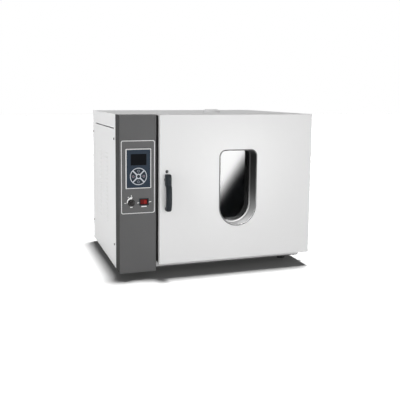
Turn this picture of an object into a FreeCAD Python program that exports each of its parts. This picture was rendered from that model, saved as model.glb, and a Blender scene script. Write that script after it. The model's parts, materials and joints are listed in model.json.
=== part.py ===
import FreeCAD, Part
import math
import os

# A bench-top forced-air drying oven.
# All sizes are millimetres. The pieces are drawn in the case's own coordinates:
# X runs right from the case's left side, Y runs back from the door's front face,
# and Z runs up from the case's bottom. The last step moves them all, so that the
# origin lies on the bench under the middle of the whole oven.

# Case
case_w = 650.0
case_d = 454.0
case_h = 500.0
sheet = 1.5
frame_return = 30.0
joint_gap = 0.4
foot_h = 18.0
foot_r = 17.0
foot_inset_x = 45.0
foot_inset_y = 45.0
pan_flange = 20.0
rear_return = 15.0
lap_tab = 24.0
back_return = 22.0
cover_screw_in = 17.0
back_screw_in = 14.0

# Door
door_t = 56.0
door_standoff = 14.0
door_side_clear = 7.0
door_right_inset = 1.5
door_lift = 29.0
door_sheet = 1.2

# Control column
column_w = 118.0
column_overhang = 5.0
column_setback = 16.0
column_lift = 5.4

# Control bay, chamber, ducts and insulation
bay_w = 115.0
chamber_d = 350.0
chamber_h = 350.0
chamber_floor = 90.0
duct_w = 39.0
insulation_side = 50.0
liner = 1.0
liner_margin = 2.0
liner_corner = 12.0
liner_flange = 14.0

# Shelves
shelf_first = 60.0
shelf_pitch = 70.0
rail_levels = 4
rail_ledge = 12.0
rail_height = 10.0
shelf_rod = 5.0
shelf_wire = 3.0
shelf_wires = 17
shelf_play = 2.0
shelf_upper_level = 2
shelf_lower_level = 0
rest_gap = 0.05

# Fan and heater
fan_r = 84.0
fan_width = 24.0
fan_blades = 16
fan_disc = 1.2
fan_hub_r = 14.0
fan_wall_gap = 6.0
shaft_r = 4.0
run_clear = 0.05
press_clear = 0.02
motor_r = 43.0
motor_len = 60.0
motor_foot = 6.0
motor_flange = 7.0
motor_flange_t = 3.0
motor_step = 5.0
motor_bell = 9.0
nut_r = 7.5
nut_t = 5.0
heater_r = 104.0
heater_tube_r = 4.0
heater_leg_half = 16.0
heater_leg_end = 10.0
heater_pin_len = 10.0
probe_r = 3.0
probe_reach = 40.0
probe_back = 70.0
probe_down = 36.0
probe_hex_r = 8.0
probe_hex_t = 6.0
probe_tail = 16.0

# Duct panels, rails and shelf frames
duct_fold = 8.0
intake_r = 7.0
intake_ring = 22.0
slot_half = 4.0
slot_share = 0.55
outlet_first = 26.0
outlet_pitch = 18.0
right_slots = 7
rail_front = 14.0
rail_back = 6.0
shelf_bend = 10.0

# Roof vent
vent_r = 31.0
vent_base_t = 4.0
vent_damper_r = 29.0
vent_damper_t = 3.5
vent_pipe_r = 20.0
vent_pipe_wall = 1.5
vent_pin_r = 2.5
vent_turn_deg = 60.0

# Window in the door, a straight top and a half-round bottom
window_w = 125.0
window_h = 243.0
window_from_left = 263.5
window_up = 112.0
window_corner = 19.0
window_rim = 3.5
window_rim_t = 1.5
window_recess = 42.0
window_lip = 4.0
window_wall = 1.2
glass_t = 4.0
glass_pocket = 0.2

# Door plug and seal
plug_inset = 9.0
plug_depth = 13.0
seal_w = 16.0
seal_out = 4.0
seal_clear = 0.3

# Hinges
hinge_h = 62.0
hinge_knuckle_r = 6.0
hinge_pin_r = 3.0
hinge_leaf = 2.0
hinge_out = 8.0
hinge_behind_face = 7.0
hinge_from_end = 60.0
hinge_gap = 0.3
hinge_case_len = 28.0
hinge_case_start = 2.0
hinge_door_len = 44.0
hinge_pin_over = 1.5
hinge_screw_end = 0.2
hinge_screw_pitch = 12.0
hinge_screw_in = 10.0
small_head_r = 3.4

# Handle and latch
handle_in = 23.5
handle_up = 270.0
handle_gap = 0.6
handle_w = 18.0
handle_head_up = 17.0
handle_head_down = 17.0
handle_reach = 20.0
grip_t = 14.5
grip_len = 70.0
foot_len = 11.0
spindle_r = 6.0
bush_r = 9.0
tongue_len = 24.0
tongue_t = 4.0
tongue_h = 9.0
keeper_t = 2.5
keeper_gap = 0.5
keeper_w = 13.0
keeper_h = 30.0
keeper_over = 3.0
keeper_screw_up = 10.0
keeper_screw_pitch = 12.0

# Controls on the column's face
plate_x = 5.5
plate_w = 107.0
plate_z = 188.6
plate_h = 227.5
plate_t = 0.8
plate_corner = 6.0
trim_w = 2.2
trim_t = 0.7
bezel_x = 13.8
bezel_z = 78.5
bezel_w = 81.0
bezel_h = 124.0
bezel_rim = 2.8
bezel_t = 4.2
bezel_corner = 3.0
controller_depth = 58.0
face_set = 1.2
face_t = 2.2
screen_x = 16.0
screen_z = 72.5
screen_w = 50.0
screen_h = 35.0
screen_t = 1.2
keypad_x = 40.3
keypad_z = 38.0
keypad_r = 26.8
keypad_ring = 2.0
keypad_spoke = 3.4
keypad_hub_r = 8.0
keypad_raise = 0.8
key_clear = 0.35
key_stem_r = 3.0
key_travel = 0.6
key_proud = 1.0
knob_x = 32.3
knob_z = 34.2
knob_r = 10.5
knob_h = 15.0
knob_skirt = 2.5
knob_flutes = 18
knob_shaft_r = 3.0
switch_x = 72.4
switch_z = 35.6
switch_w = 30.0
switch_h = 22.5
switch_rim = 1.8
switch_rim_t = 1.6
switch_depth = 22.0
rocker_tilt_deg = 9.0
rocker_pin_r = 1.6
rocker_clear = 0.4

# Relay on the base pan
relay_x = 22.0
relay_back = 130.0
relay_w = 58.0
relay_d = 46.0
relay_h = 26.0
relay_fin = 4.0
relay_end = 10.0

# Back and side details
louvre_rows = 17
louvre_len = 38.0
louvre_pitch = 14.6
louvre_first = 126.0
louvre_h = 4.0
louvre_out = 2.0
louvre_column_a = 178.0
louvre_column_b = 296.0
slot_down = 46.5
slot_w = 3.0
slot_from = 37.0
slot_to = 389.0
screw_r = 4.0
screw_head_t = 2.0
screw_shank_r = 1.8
screw_len = 6.0
gland_x = 60.0
gland_z = 62.0
gland_bore_r = 4.5
gland_r = 9.0
gland_len = 22.0
gland_neck_len = 12.0
gland_nut_t = 4.0

# Places worked out from the sizes above
front_y = door_t + door_standoff
rear_y = front_y + case_d
door_x0 = column_w - column_overhang + door_side_clear
door_x1 = case_w - door_right_inset
door_z0 = door_lift
door_z1 = case_h
column_x0 = -column_overhang
column_x1 = column_w - column_overhang
column_y = column_setback
partition_x0 = bay_w
partition_x1 = partition_x0 + sheet
liner_x0 = partition_x1 + insulation_side + liner
liner_x1 = case_w - sheet - insulation_side - liner
chamber_x0 = liner_x0 + duct_w + liner
chamber_x1 = liner_x1 - duct_w - liner
chamber_z0 = chamber_floor
chamber_z1 = chamber_floor + chamber_h
chamber_y0 = front_y + sheet
chamber_y1 = chamber_y0 + chamber_d
liner_z0 = chamber_z0 - liner_margin
liner_z1 = chamber_z1 + liner_margin
fan_y = (chamber_y0 + chamber_y1) / 2
fan_z = (chamber_z0 + chamber_z1) / 2
fan_x1 = chamber_x0 - liner - fan_wall_gap
fan_x0 = fan_x1 - fan_width
shelf_mid_y = (chamber_y0 + chamber_y1) / 2
vent_x = (chamber_x0 + chamber_x1) / 2
vent_y = fan_y
window_x = door_x0 + window_from_left
window_z0 = door_z0 + window_up
window_z1 = window_z0 + window_h
hinge_x = case_w + hinge_out
hinge_y = door_t + hinge_behind_face
handle_x = door_x0 + handle_in
handle_z = door_z0 + handle_up
tongue_y0 = door_t + 5.0
tongue_y1 = tongue_y0 + tongue_t
plate_x0 = column_x0 + plate_x
plate_z0 = column_lift + plate_z
bezel_x0 = plate_x0 + bezel_x
bezel_z0 = plate_z0 + bezel_z
keypad_cx = bezel_x0 + keypad_x
keypad_cz = bezel_z0 + keypad_z
knob_cx = plate_x0 + knob_x
knob_cz = plate_z0 + knob_z
switch_cx = plate_x0 + switch_x
switch_cz = plate_z0 + switch_z
plate_y = column_y - plate_t
face_y = plate_y - bezel_t + face_set


def vec(x, y, z):
    return FreeCAD.Vector(x, y, z)


def block(x0, x1, y0, y1, z0, z1):
    """A box between two corners."""
    return Part.makeBox(x1 - x0, y1 - y0, z1 - z0, vec(x0, y0, z0))


def rod_x(y, z, r, x0, x1):
    return Part.makeCylinder(r, x1 - x0, vec(x0, y, z), vec(1, 0, 0))


def rod_y(x, z, r, y0, y1):
    return Part.makeCylinder(r, y1 - y0, vec(x, y0, z), vec(0, 1, 0))


def rod_z(x, y, r, z0, z1):
    return Part.makeCylinder(r, z1 - z0, vec(x, y, z0), vec(0, 0, 1))


def closed_face(edges):
    return Part.Face(Part.Wire(edges))


def hexagon(x, y, z, r, length):
    """A hexagonal bar along X from the point (x, y, z), by its corner radius."""
    corners = []
    for k in range(7):
        a = math.radians(60 * k)
        corners.append(vec(x, y + r * math.cos(a), z + r * math.sin(a)))
    return Part.Face(Part.makePolygon(corners)).extrude(vec(length, 0, 0))


def rounded_front(x0, x1, z0, z1, r, y0, y1):
    """A plate seen from the front as a rounded rectangle, drawn back from y0 to y1."""
    c = math.sqrt(0.5) * r
    edges = [
        Part.LineSegment(vec(x0 + r, y0, z0), vec(x1 - r, y0, z0)).toShape(),
        Part.Arc(vec(x1 - r, y0, z0), vec(x1 - r + c, y0, z0 + r - c), vec(x1, y0, z0 + r)).toShape(),
        Part.LineSegment(vec(x1, y0, z0 + r), vec(x1, y0, z1 - r)).toShape(),
        Part.Arc(vec(x1, y0, z1 - r), vec(x1 - r + c, y0, z1 - r + c), vec(x1 - r, y0, z1)).toShape(),
        Part.LineSegment(vec(x1 - r, y0, z1), vec(x0 + r, y0, z1)).toShape(),
        Part.Arc(vec(x0 + r, y0, z1), vec(x0 + r - c, y0, z1 - r + c), vec(x0, y0, z1 - r)).toShape(),
        Part.LineSegment(vec(x0, y0, z1 - r), vec(x0, y0, z0 + r)).toShape(),
        Part.Arc(vec(x0, y0, z0 + r), vec(x0 + r - c, y0, z0 + r - c), vec(x0 + r, y0, z0)).toShape(),
    ]
    return closed_face(edges).extrude(vec(0, y1 - y0, 0))


def window_block(grow, y0, y1):
    """The window's outline, grown all round: rounded at the top, a half circle at the bottom."""
    half = window_w / 2 + grow
    r = window_corner + grow
    x0 = window_x - half
    x1 = window_x + half
    z1 = window_z1 + grow
    z_mid = window_z0 + window_w / 2
    c = math.sqrt(0.5) * r
    edges = [
        Part.Arc(vec(x0, y0, z_mid), vec(window_x, y0, z_mid - half), vec(x1, y0, z_mid)).toShape(),
        Part.LineSegment(vec(x1, y0, z_mid), vec(x1, y0, z1 - r)).toShape(),
        Part.Arc(vec(x1, y0, z1 - r), vec(x1 - r + c, y0, z1 - r + c), vec(x1 - r, y0, z1)).toShape(),
        Part.LineSegment(vec(x1 - r, y0, z1), vec(x0 + r, y0, z1)).toShape(),
        Part.Arc(vec(x0 + r, y0, z1), vec(x0 + r - c, y0, z1 - r + c), vec(x0, y0, z1 - r)).toShape(),
        Part.LineSegment(vec(x0, y0, z1 - r), vec(x0, y0, z_mid)).toShape(),
    ]
    return closed_face(edges).extrude(vec(0, y1 - y0, 0))


def turned(points, x, y, z, direction):
    """A solid of revolution. Points are (radius, distance along the direction)."""
    wire = Part.makePolygon([vec(r, 0, h) for r, h in points + points[:1]])
    solid = Part.Face(wire).revolve(vec(0, 0, 0), vec(0, 0, 1), 360)
    solid.Placement = FreeCAD.Placement(vec(x, y, z), FreeCAD.Rotation(vec(0, 0, 1), direction))
    return solid


def joined(shapes):
    """Fuses shapes into one and drops the seams between faces in one plane."""
    return shapes[0].multiFuse(shapes[1:]).removeSplitter()


def group(solids):
    """Separate solids that share a node."""
    return Part.makeCompound(solids)


def screw(x, y, z, direction, head_r=screw_r, head_t=screw_head_t, shank=screw_len):
    """A pan-head screw whose head sits on (x, y, z) and whose shank runs against the direction."""
    points = [(0, -shank), (screw_shank_r, -shank), (screw_shank_r, 0), (head_r, 0)]
    points += [(head_r, head_t * 0.45), (head_r * 0.8, head_t * 0.85), (head_r * 0.45, head_t), (0, head_t)]
    return turned(points, x, y, z, direction)


# The cabinet's sheet metal


def frame_lines():
    """Heights of the screws in the side covers."""
    return (case_h * 0.148, case_h * 0.84)


def side_screw_depths():
    """Depths of the screws in the side covers, near the cover's front and rear edges."""
    return (front_y + frame_return + cover_screw_in, rear_y - back_screw_in)


def front_frame():
    """The cabinet's face: one plate with the chamber's mouth, side returns and lap tabs."""
    back = front_y + frame_return
    plate = block(0, case_w, front_y, front_y + sheet, 0, case_h - sheet)
    left = block(0, sheet, front_y, back, 0, case_h - sheet)
    right = block(case_w - sheet, case_w, front_y, back, 0, case_h - sheet)
    tabs = []
    for x0 in (sheet, case_w - 2 * sheet):
        tab = block(x0, x0 + sheet, front_y, back + lap_tab, pan_flange + joint_gap + sheet, case_h - 3 * sheet)
        tabs.append(tab)
    body = joined([plate, left, right] + tabs)
    mouth = rounded_front(chamber_x0, chamber_x1, chamber_z0, chamber_z1, liner_corner,
                          front_y - 1, front_y + sheet + 1)
    body = body.cut(mouth)
    pocket_x0 = plate_x0 + 2 * plate_corner
    pocket_x1 = plate_x0 + plate_w - 2 * plate_corner
    pocket = rounded_front(pocket_x0, pocket_x1, plate_z0 - 12.0, plate_z0 + plate_h + 12.0, plate_corner,
                           front_y - 1, front_y + sheet + 1)
    body = body.cut(pocket)
    return body.cut(group(side_screw_holes() + hinge_screw_holes() + keeper_screw_holes()))


def side_screw_holes():
    y = side_screw_depths()[0]
    holes = []
    for z in frame_lines():
        holes.append(rod_x(y, z, screw_shank_r + 0.1, -1, 3 * sheet))
        holes.append(rod_x(y, z, screw_shank_r + 0.1, case_w - 3 * sheet, case_w + 1))
    return holes


def rear_screw_holes():
    y = side_screw_depths()[1]
    holes = []
    for z in frame_lines():
        holes.append(rod_x(y, z, screw_shank_r + 0.1, -1, 3 * sheet))
        holes.append(rod_x(y, z, screw_shank_r + 0.1, case_w - 3 * sheet, case_w + 1))
    return holes


def top_panel():
    """The roof, with a flange down the left side that the cover's slot runs under."""
    y0 = front_y + frame_return + joint_gap
    roof = block(0, case_w, front_y, rear_y, case_h - sheet, case_h)
    flange = block(0, sheet, y0, rear_y - sheet, case_h - slot_down + slot_w / 2, case_h - sheet)
    body = joined([roof, flange])
    return body.cut(rod_z(vent_x, vent_y, vent_pipe_r, case_h - sheet - 1, case_h + 1))


def side_plate(x0, z1):
    y0 = front_y + frame_return + joint_gap
    return block(x0, x0 + sheet, y0, rear_y - sheet, 0, z1)


def louvre_centres():
    """Depth and height of each pressed louvre in the side cover."""
    centres = []
    for y in (louvre_column_a, louvre_column_b):
        for row in range(louvre_rows):
            centres.append((front_y + y, louvre_first + row * louvre_pitch))
    return centres


def louvre_hood(y, z):
    """A pressed hood, a quarter-round eyebrow over its slot, open downwards."""
    outer = louvre_out
    wall = sheet * 0.6
    inner = outer - wall
    top = z + louvre_h
    edges = [
        Part.LineSegment(vec(0, 0, top), vec(-outer, 0, top - louvre_h)).toShape(),
        Part.LineSegment(vec(-outer, 0, top - louvre_h), vec(-inner, 0, top - louvre_h)).toShape(),
        Part.LineSegment(vec(-inner, 0, top - louvre_h), vec(0, 0, top - wall * 1.6)).toShape(),
        Part.LineSegment(vec(0, 0, top - wall * 1.6), vec(0, 0, top)).toShape(),
    ]
    hood = closed_face(edges).extrude(vec(0, louvre_len, 0))
    hood.translate(vec(0, y - louvre_len / 2, 0))
    return hood


def left_cover():
    """The removable side cover with two columns of pressed louvres and a long notch in its top edge."""
    top = case_h - slot_down + slot_w / 2
    body = side_plate(0, top)
    notch = block(-1, sheet + 1, front_y + slot_from, front_y + slot_to, top - slot_w, top + 1)
    slots = []
    hoods = []
    for y, z in louvre_centres():
        slots.append(block(-1, sheet + 1, y - louvre_len / 2, y + louvre_len / 2, z, z + louvre_h * 0.6))
        hoods.append(louvre_hood(y, z))
    body = body.cut(group([notch] + slots + side_screw_holes() + rear_screw_holes()))
    return body.multiFuse(hoods)


def right_panel():
    body = side_plate(case_w - sheet, case_h - sheet)
    return body.cut(group(side_screw_holes() + rear_screw_holes()))


def base_pan():
    """The floor, folded up at all four edges, with the feet's screw holes."""
    x0 = 2 * sheet
    x1 = case_w - 2 * sheet
    y0 = front_y + sheet
    y1 = rear_y - sheet
    outer = block(x0, x1, y0, y1, 0, pan_flange)
    inner = block(x0 + sheet, x1 - sheet, y0 + sheet, y1 - sheet, sheet, pan_flange + 1)
    holes = [rod_z(x, y, screw_shank_r + 0.1, -1, sheet + 1) for x, y in foot_places()]
    return outer.cut(group([inner] + holes + back_screw_holes()))


def back_panel():
    """The rear cover with side returns, its gland hole and screws along both sides."""
    plate = block(0, case_w, rear_y - sheet, rear_y, 0, case_h - sheet)
    y0 = rear_y - sheet - back_return
    z0 = pan_flange + joint_gap
    z1 = case_h - sheet - joint_gap
    left = block(sheet, 2 * sheet, y0, rear_y - sheet, z0, z1)
    right = block(case_w - 2 * sheet, case_w - sheet, y0, rear_y - sheet, z0, z1)
    body = joined([plate, left, right])
    gland = rod_y(gland_x, gland_z, gland_r * 0.75, rear_y - sheet - 1, rear_y + 1)
    return body.cut(group([gland] + rear_screw_holes() + back_screw_holes()))


def back_screw_places():
    places = []
    for x in (case_w * 0.03, case_w * 0.5, case_w * 0.97):
        for z in (case_h * 0.02 + 3.0, case_h * 0.97):
            places.append((x, z))
    return places


def back_screw_holes():
    return [rod_y(x, z, screw_shank_r + 0.1, rear_y - 3 * sheet, rear_y + 1) for x, z in back_screw_places()]


def case_screws():
    """All the cabinet's screws: covers, hinges' case leaves, keeper, motor flange and feet."""
    screws = motor_screws() + foot_screws()
    for y in side_screw_depths():
        for z in frame_lines():
            screws.append(screw(0, y, z, vec(-1, 0, 0)))
            screws.append(screw(case_w, y, z, vec(1, 0, 0)))
    for x, z in back_screw_places():
        screws.append(screw(x, rear_y, z, vec(0, 1, 0)))
    for x, z in keeper_screw_places():
        screws.append(screw(x, front_y - keeper_t, z, vec(0, -1, 0), small_head_r, 1.6, keeper_t + sheet))
    for y, z in hinge_screw_places():
        screws.append(screw(case_w + hinge_leaf, y, z, vec(1, 0, 0), small_head_r, 1.6))
    return group(screws)


def partition():
    """The wall between the control bay on the left and the insulation, with holes for what passes it."""
    body = block(partition_x0, partition_x1, front_y + 2 * sheet + joint_gap, rear_y - sheet,
                 pan_flange + joint_gap, case_h - sheet)
    return body.cut(group(bay_passages(partition_x0 - 1, partition_x1 + 1)))


def heater_leg_places():
    """Depth and height of the heater's two legs, above the fan."""
    return [(fan_y - heater_leg_half, heater_leg_z()), (fan_y + heater_leg_half, heater_leg_z())]


def heater_leg_z():
    return fan_z + math.sqrt(heater_r ** 2 - heater_leg_half ** 2)


def probe_place():
    """Depth and height of the temperature probe."""
    return chamber_y0 + probe_back, chamber_z1 - probe_down


def bay_passages(x0, x1):
    """Holes for the shaft's sleeve, the heater's legs and the probe."""
    y, z = probe_place()
    holes = [rod_x(fan_y, fan_z, bush_r, x0, x1), rod_x(y, z, probe_r + 0.2, x0, x1)]
    for leg_y, leg_z in heater_leg_places():
        holes.append(rod_x(leg_y, leg_z, heater_tube_r + 0.2, x0, x1))
    return holes


def insulation():
    """Mineral wool all round the liner, kept clear of the cover screws' points."""
    outer = block(partition_x1, case_w - screw_len - joint_gap, chamber_y0 + liner + joint_gap,
                  rear_y - screw_len - joint_gap, pan_flange + joint_gap, case_h - sheet - joint_gap)
    hollow = block(liner_x0 - liner, liner_x1 + liner, chamber_y0 - 1, chamber_y1 + liner,
                   liner_z0 - liner, liner_z1 + liner)
    vent = rod_z(vent_x, vent_y, vent_pipe_r, liner_z1, case_h)
    flange = block(liner_x0 - liner_flange, liner_x1 + liner_flange, chamber_y0 - 1,
                   chamber_y0 + liner + joint_gap + 1, liner_z0 - liner_flange, liner_z1 + liner_flange)
    return outer.cut(group([hollow, vent, flange] + bay_passages(partition_x1 - 1, liner_x0)))


def inner_chamber():
    """The stainless liner, a box with rounded corners, open at the front, flanged to the face plate."""
    outer = rounded_front(liner_x0 - liner, liner_x1 + liner, liner_z0 - liner, liner_z1 + liner,
                          liner_corner + liner, chamber_y0, chamber_y1 + liner)
    flange = rounded_front(liner_x0 - liner_flange, liner_x1 + liner_flange, liner_z0 - liner_flange,
                           liner_z1 + liner_flange, liner_corner, chamber_y0, chamber_y0 + liner)
    inner = rounded_front(liner_x0, liner_x1, liner_z0, liner_z1, liner_corner, chamber_y0 - 1, chamber_y1)
    body = joined([outer, flange]).cut(inner)
    vent = rod_z(vent_x, vent_y, vent_pipe_r - vent_pipe_wall, liner_z1 - 1, liner_z1 + liner + 1)
    y, z = probe_place()
    holes = [vent, rod_x(fan_y, fan_z, shaft_r + 1.5, liner_x0 - liner - 1, liner_x0 + 1)]
    holes.append(rod_x(y, z, probe_r + 0.2, liner_x0 - liner - 1, liner_x0 + 1))
    for leg_y, leg_z in heater_leg_places():
        holes.append(rod_x(leg_y, leg_z, heater_tube_r + 0.2, liner_x0 - liner - 1, liner_x0 + 1))
    return body.cut(group(holes))


# Inside the chamber


def duct_panel(x0, flange_dir):
    """A removable inner wall with a duct behind it and folded edges at top and bottom."""
    y0 = chamber_y0 + joint_gap
    y1 = chamber_y1 - joint_gap
    flange_x0 = min(x0, x0 + flange_dir * duct_fold)
    flange_x1 = max(x0 + liner, x0 + liner + flange_dir * duct_fold)
    plate = block(x0, x0 + liner, y0, y1, liner_z0, liner_z1)
    low = block(flange_x0, flange_x1, y0 + liner_corner, y1 - liner_corner, liner_z0, liner_z0 + liner)
    high = block(flange_x0, flange_x1, y0 + liner_corner, y1 - liner_corner, liner_z1 - liner, liner_z1)
    return joined([plate, low, high])


def air_slots(x0, depths, count):
    """Upright air slots in rows between the shelf levels."""
    slots = []
    length = shelf_pitch * slot_share
    for y in depths:
        for row in range(count):
            z = chamber_z0 + shelf_first + (row - 0.5) * shelf_pitch
            slots.append(block(x0 - 1, x0 + liner + 1, y - slot_half, y + slot_half,
                               z - length / 2, z + length / 2))
    return slots


def duct_panel_left():
    """The fan-side wall: a ring pattern of intake holes before the fan and outlet slots at both ends."""
    x0 = chamber_x0 - liner
    holes = [rod_x(fan_y, fan_z, intake_r, x0 - 1, x0 + liner + 1)]
    for ring, count in ((intake_ring, 6), (2 * intake_ring, 12)):
        for k in range(count):
            a = 2 * math.pi * k / count
            y = fan_y + ring * math.cos(a)
            z = fan_z + ring * math.sin(a)
            holes.append(rod_x(y, z, intake_r, x0 - 1, x0 + liner + 1))
    y, z = probe_place()
    holes.append(rod_x(y, z, probe_r + 0.3, x0 - 1, x0 + liner + 1))
    second = outlet_first + outlet_pitch
    depths = (chamber_y0 + outlet_first, chamber_y0 + second, chamber_y1 - second, chamber_y1 - outlet_first)
    return duct_panel(x0, -1).cut(group(holes + air_slots(x0, depths, rail_levels)))


def duct_panel_right():
    """The far wall, with a grid of outlet slots."""
    x0 = chamber_x1
    depths = [chamber_y0 + chamber_d * (k + 1) / (right_slots + 1) for k in range(right_slots)]
    return duct_panel(x0, 1).cut(group(air_slots(x0, depths, rail_levels)))


def shelf_height(level):
    return chamber_z0 + shelf_first + level * shelf_pitch


def shelf_rails():
    """Angle rails on both duct panels, one pair for each level."""
    y0 = chamber_y0 + rail_front
    y1 = chamber_y1 - rail_back
    rails = []
    for level in range(rail_levels):
        z = shelf_height(level)
        for x_wall, side in ((chamber_x0, 1), (chamber_x1, -1)):
            leg = sorted((x_wall, x_wall + side * liner))
            ledge = sorted((x_wall, x_wall + side * rail_ledge))
            upright = block(leg[0], leg[1], y0, y1, z - rail_height, z)
            shelf = block(ledge[0], ledge[1], y0, y1, z - liner, z)
            stop = block(ledge[0], ledge[1], y1 - liner, y1, z - liner, z + shelf_rod)
            rails.append(joined([upright, shelf, stop]))
    return group(rails)


def bent_corner(x, y, z, r_bend, r_tube, start):
    corner = Part.makeTorus(r_bend, r_tube, vec(0, 0, 0), vec(0, 0, 1), -180, 180, 90)
    corner.rotate(vec(0, 0, 0), vec(0, 0, 1), start)
    corner.translate(vec(x, y, z))
    return corner


def wire_shelf(level):
    """A wire shelf: a bent rod frame, a middle bar and thin wires welded on top from front to back."""
    r = shelf_rod / 2
    x0 = chamber_x0 + shelf_play + r
    x1 = chamber_x1 - shelf_play - r
    y0 = chamber_y0 + rail_front + r
    y1 = chamber_y1 - rail_back - liner - rest_gap - r
    z = shelf_height(level) + rest_gap + r
    bend = shelf_bend
    parts = [
        rod_x(y0, z, r, x0 + bend, x1 - bend),
        rod_x(y1, z, r, x0 + bend, x1 - bend),
        rod_y(x0, z, r, y0 + bend, y1 - bend),
        rod_y(x1, z, r, y0 + bend, y1 - bend),
        bent_corner(x1 - bend, y1 - bend, z, bend, r, 0),
        bent_corner(x0 + bend, y1 - bend, z, bend, r, 90),
        bent_corner(x0 + bend, y0 + bend, z, bend, r, 180),
        bent_corner(x1 - bend, y0 + bend, z, bend, r, 270),
        rod_x(shelf_mid_y, z, r, x0, x1),
    ]
    weld = shelf_wire * 0.35
    wire_z = z + r + shelf_wire / 2 - weld
    for k in range(shelf_wires):
        x = x0 + (x1 - x0) * (k + 1) / (shelf_wires + 1)
        parts.append(rod_y(x, wire_z, shelf_wire / 2, y0, y1))
    return parts[0].multiFuse(parts[1:])


# Feet and roof vent


def foot_places():
    places = []
    for x in (foot_inset_x, case_w - foot_inset_x):
        for y in (front_y + foot_inset_y, rear_y - foot_inset_y):
            places.append((x, y))
    return places


def feet():
    """Four rubber feet, each with a deep recess for its screw's head."""
    recess = foot_h * 0.55
    points = [(screw_head_recess_r(), 0), (foot_r - 2.5, 0), (foot_r - 1.2, 1.2), (foot_r, foot_h)]
    points += [(screw_shank_r + 0.1, foot_h), (screw_shank_r + 0.1, recess), (screw_head_recess_r(), recess)]
    return group([turned(points, x, y, -foot_h, vec(0, 0, 1)) for x, y in foot_places()])


def screw_head_recess_r():
    return screw_r * 1.6


def foot_screws():
    z = -foot_h + foot_h * 0.55
    shank = foot_h * 0.45 + sheet + 3.0
    down = vec(0, 0, -1)
    return [screw(x, y, z, down, screw_r * 1.3, 3.0, shank) for x, y in foot_places()]


def sector(x, y, z0, z1, r0, r1, start, sweep):
    """A block shaped as part of a ring, between two radii and two angles in degrees."""
    def at(r, angle):
        a = math.radians(angle)
        return vec(x + r * math.cos(a), y + r * math.sin(a), z0)
    mid = start + sweep / 2
    end = start + sweep
    edges = [
        Part.Arc(at(r1, start), at(r1, mid), at(r1, end)).toShape(),
        Part.LineSegment(at(r1, end), at(r0, end)).toShape(),
        Part.Arc(at(r0, end), at(r0, mid), at(r0, start)).toShape(),
        Part.LineSegment(at(r0, start), at(r1, start)).toShape(),
    ]
    return closed_face(edges).extrude(vec(0, 0, z1 - z0))


def vent_windows(z0, z1, start):
    r0 = vent_pin_r + 4.0
    r1 = vent_pipe_r - vent_pipe_wall - 1.0
    return [sector(vent_x, vent_y, z0, z1, r0, r1, start + half, vent_turn_deg) for half in (0, 180)]


def vent_pipe():
    """The flue from the chamber's roof up to the vent."""
    outer = rod_z(vent_x, vent_y, vent_pipe_r - 0.2, liner_z1 + liner, case_h)
    return outer.cut(rod_z(vent_x, vent_y, vent_pipe_r - vent_pipe_wall, liner_z1, case_h + 1))


def vent_base():
    """The vent's fixed disc on the roof, with two air windows and the damper's bore."""
    edge = 1.0
    points = [(vent_pin_r + run_clear, 0), (vent_r, 0), (vent_r, vent_base_t - edge)]
    points += [(vent_r - edge, vent_base_t), (vent_pin_r + run_clear, vent_base_t)]
    body = turned(points, vent_x, vent_y, case_h, vec(0, 0, 1))
    return body.cut(group(vent_windows(case_h - 1, case_h + vent_base_t + 1, 0)))


def vent_damper():
    """The turning disc with matching windows, a finger rib and its pivot pin."""
    z0 = case_h + vent_base_t + 0.3
    z1 = z0 + vent_damper_t
    disc = turned([(0, 0), (vent_damper_r, 0), (vent_damper_r, vent_damper_t - 1.0),
                   (vent_damper_r - 1.0, vent_damper_t), (0, vent_damper_t)], vent_x, vent_y, z0, vec(0, 0, 1))
    disc = disc.cut(group(vent_windows(z0 - 1, z1 + 1, -vent_turn_deg)))
    pin = rod_z(vent_x, vent_y, vent_pin_r, case_h, z0 + 1)
    rib = block(vent_x - vent_damper_r + 5.0, vent_x + vent_damper_r - 5.0, vent_y - 1.5, vent_y + 1.5,
                z0 + 1, z1 + 2.5)
    return joined([disc, pin, rib])


# Fan, motor and heater


def fan_motor():
    """The motor on the partition: flange, neck, can and a rear bell with cooling slots."""
    f = motor_foot
    n = motor_len
    r = motor_r
    bore = shaft_r + run_clear
    t = motor_flange_t
    bell = n - motor_bell
    points = [(bore, 0), (r + motor_flange, 0), (r + motor_flange, t), (r * 0.7, t), (r * 0.7, f)]
    points += [(r - motor_step, f), (r, f + motor_step), (r, bell), (r - t, bell), (r - t, bell + t)]
    points += [(r - motor_bell, n), (0, n), (0, bell - motor_step), (bore, bell - motor_step)]
    body = turned(points, partition_x0, fan_y, fan_z, vec(-1, 0, 0))
    x1 = partition_x0 - n + motor_flange
    slots = []
    for k in range(8):
        slot = block(x1 - 12.0, x1, fan_y - 2.0, fan_y + 2.0, fan_z + r * 0.45, fan_z + r * 0.72)
        slot.rotate(vec(0, fan_y, fan_z), vec(1, 0, 0), k * 45.0)
        slots.append(slot)
    return body.cut(group(slots))


def motor_screws():
    """Four screws through the motor's flange."""
    screws = []
    for k in range(4):
        a = math.radians(45 + 90 * k)
        y = fan_y + (motor_r + sheet) * math.cos(a)
        z = fan_z + (motor_r + sheet) * math.sin(a)
        screws.append(turned([(0, 0), (small_head_r, 0), (small_head_r, 2.0), (2.4, 2.6), (0, 2.6)],
                             partition_x0 - motor_flange_t, y, z, vec(-1, 0, 0)))
    return screws


def shaft_sleeve():
    """A tube that keeps the wool off the shaft."""
    outer = rod_x(fan_y, fan_z, bush_r - 0.1, partition_x0, liner_x0 - liner)
    return outer.cut(rod_x(fan_y, fan_z, shaft_r + 2.0, partition_x0 - 1, liner_x0))


def fan_shaft():
    """The motor's shaft and the nut that holds the fan on it."""
    x0 = partition_x0 - motor_len + motor_bell + motor_flange
    x1 = fan_x0 + fan_width * 0.8
    return group([rod_x(fan_y, fan_z, shaft_r, x0, x1), fan_nut()])


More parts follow.
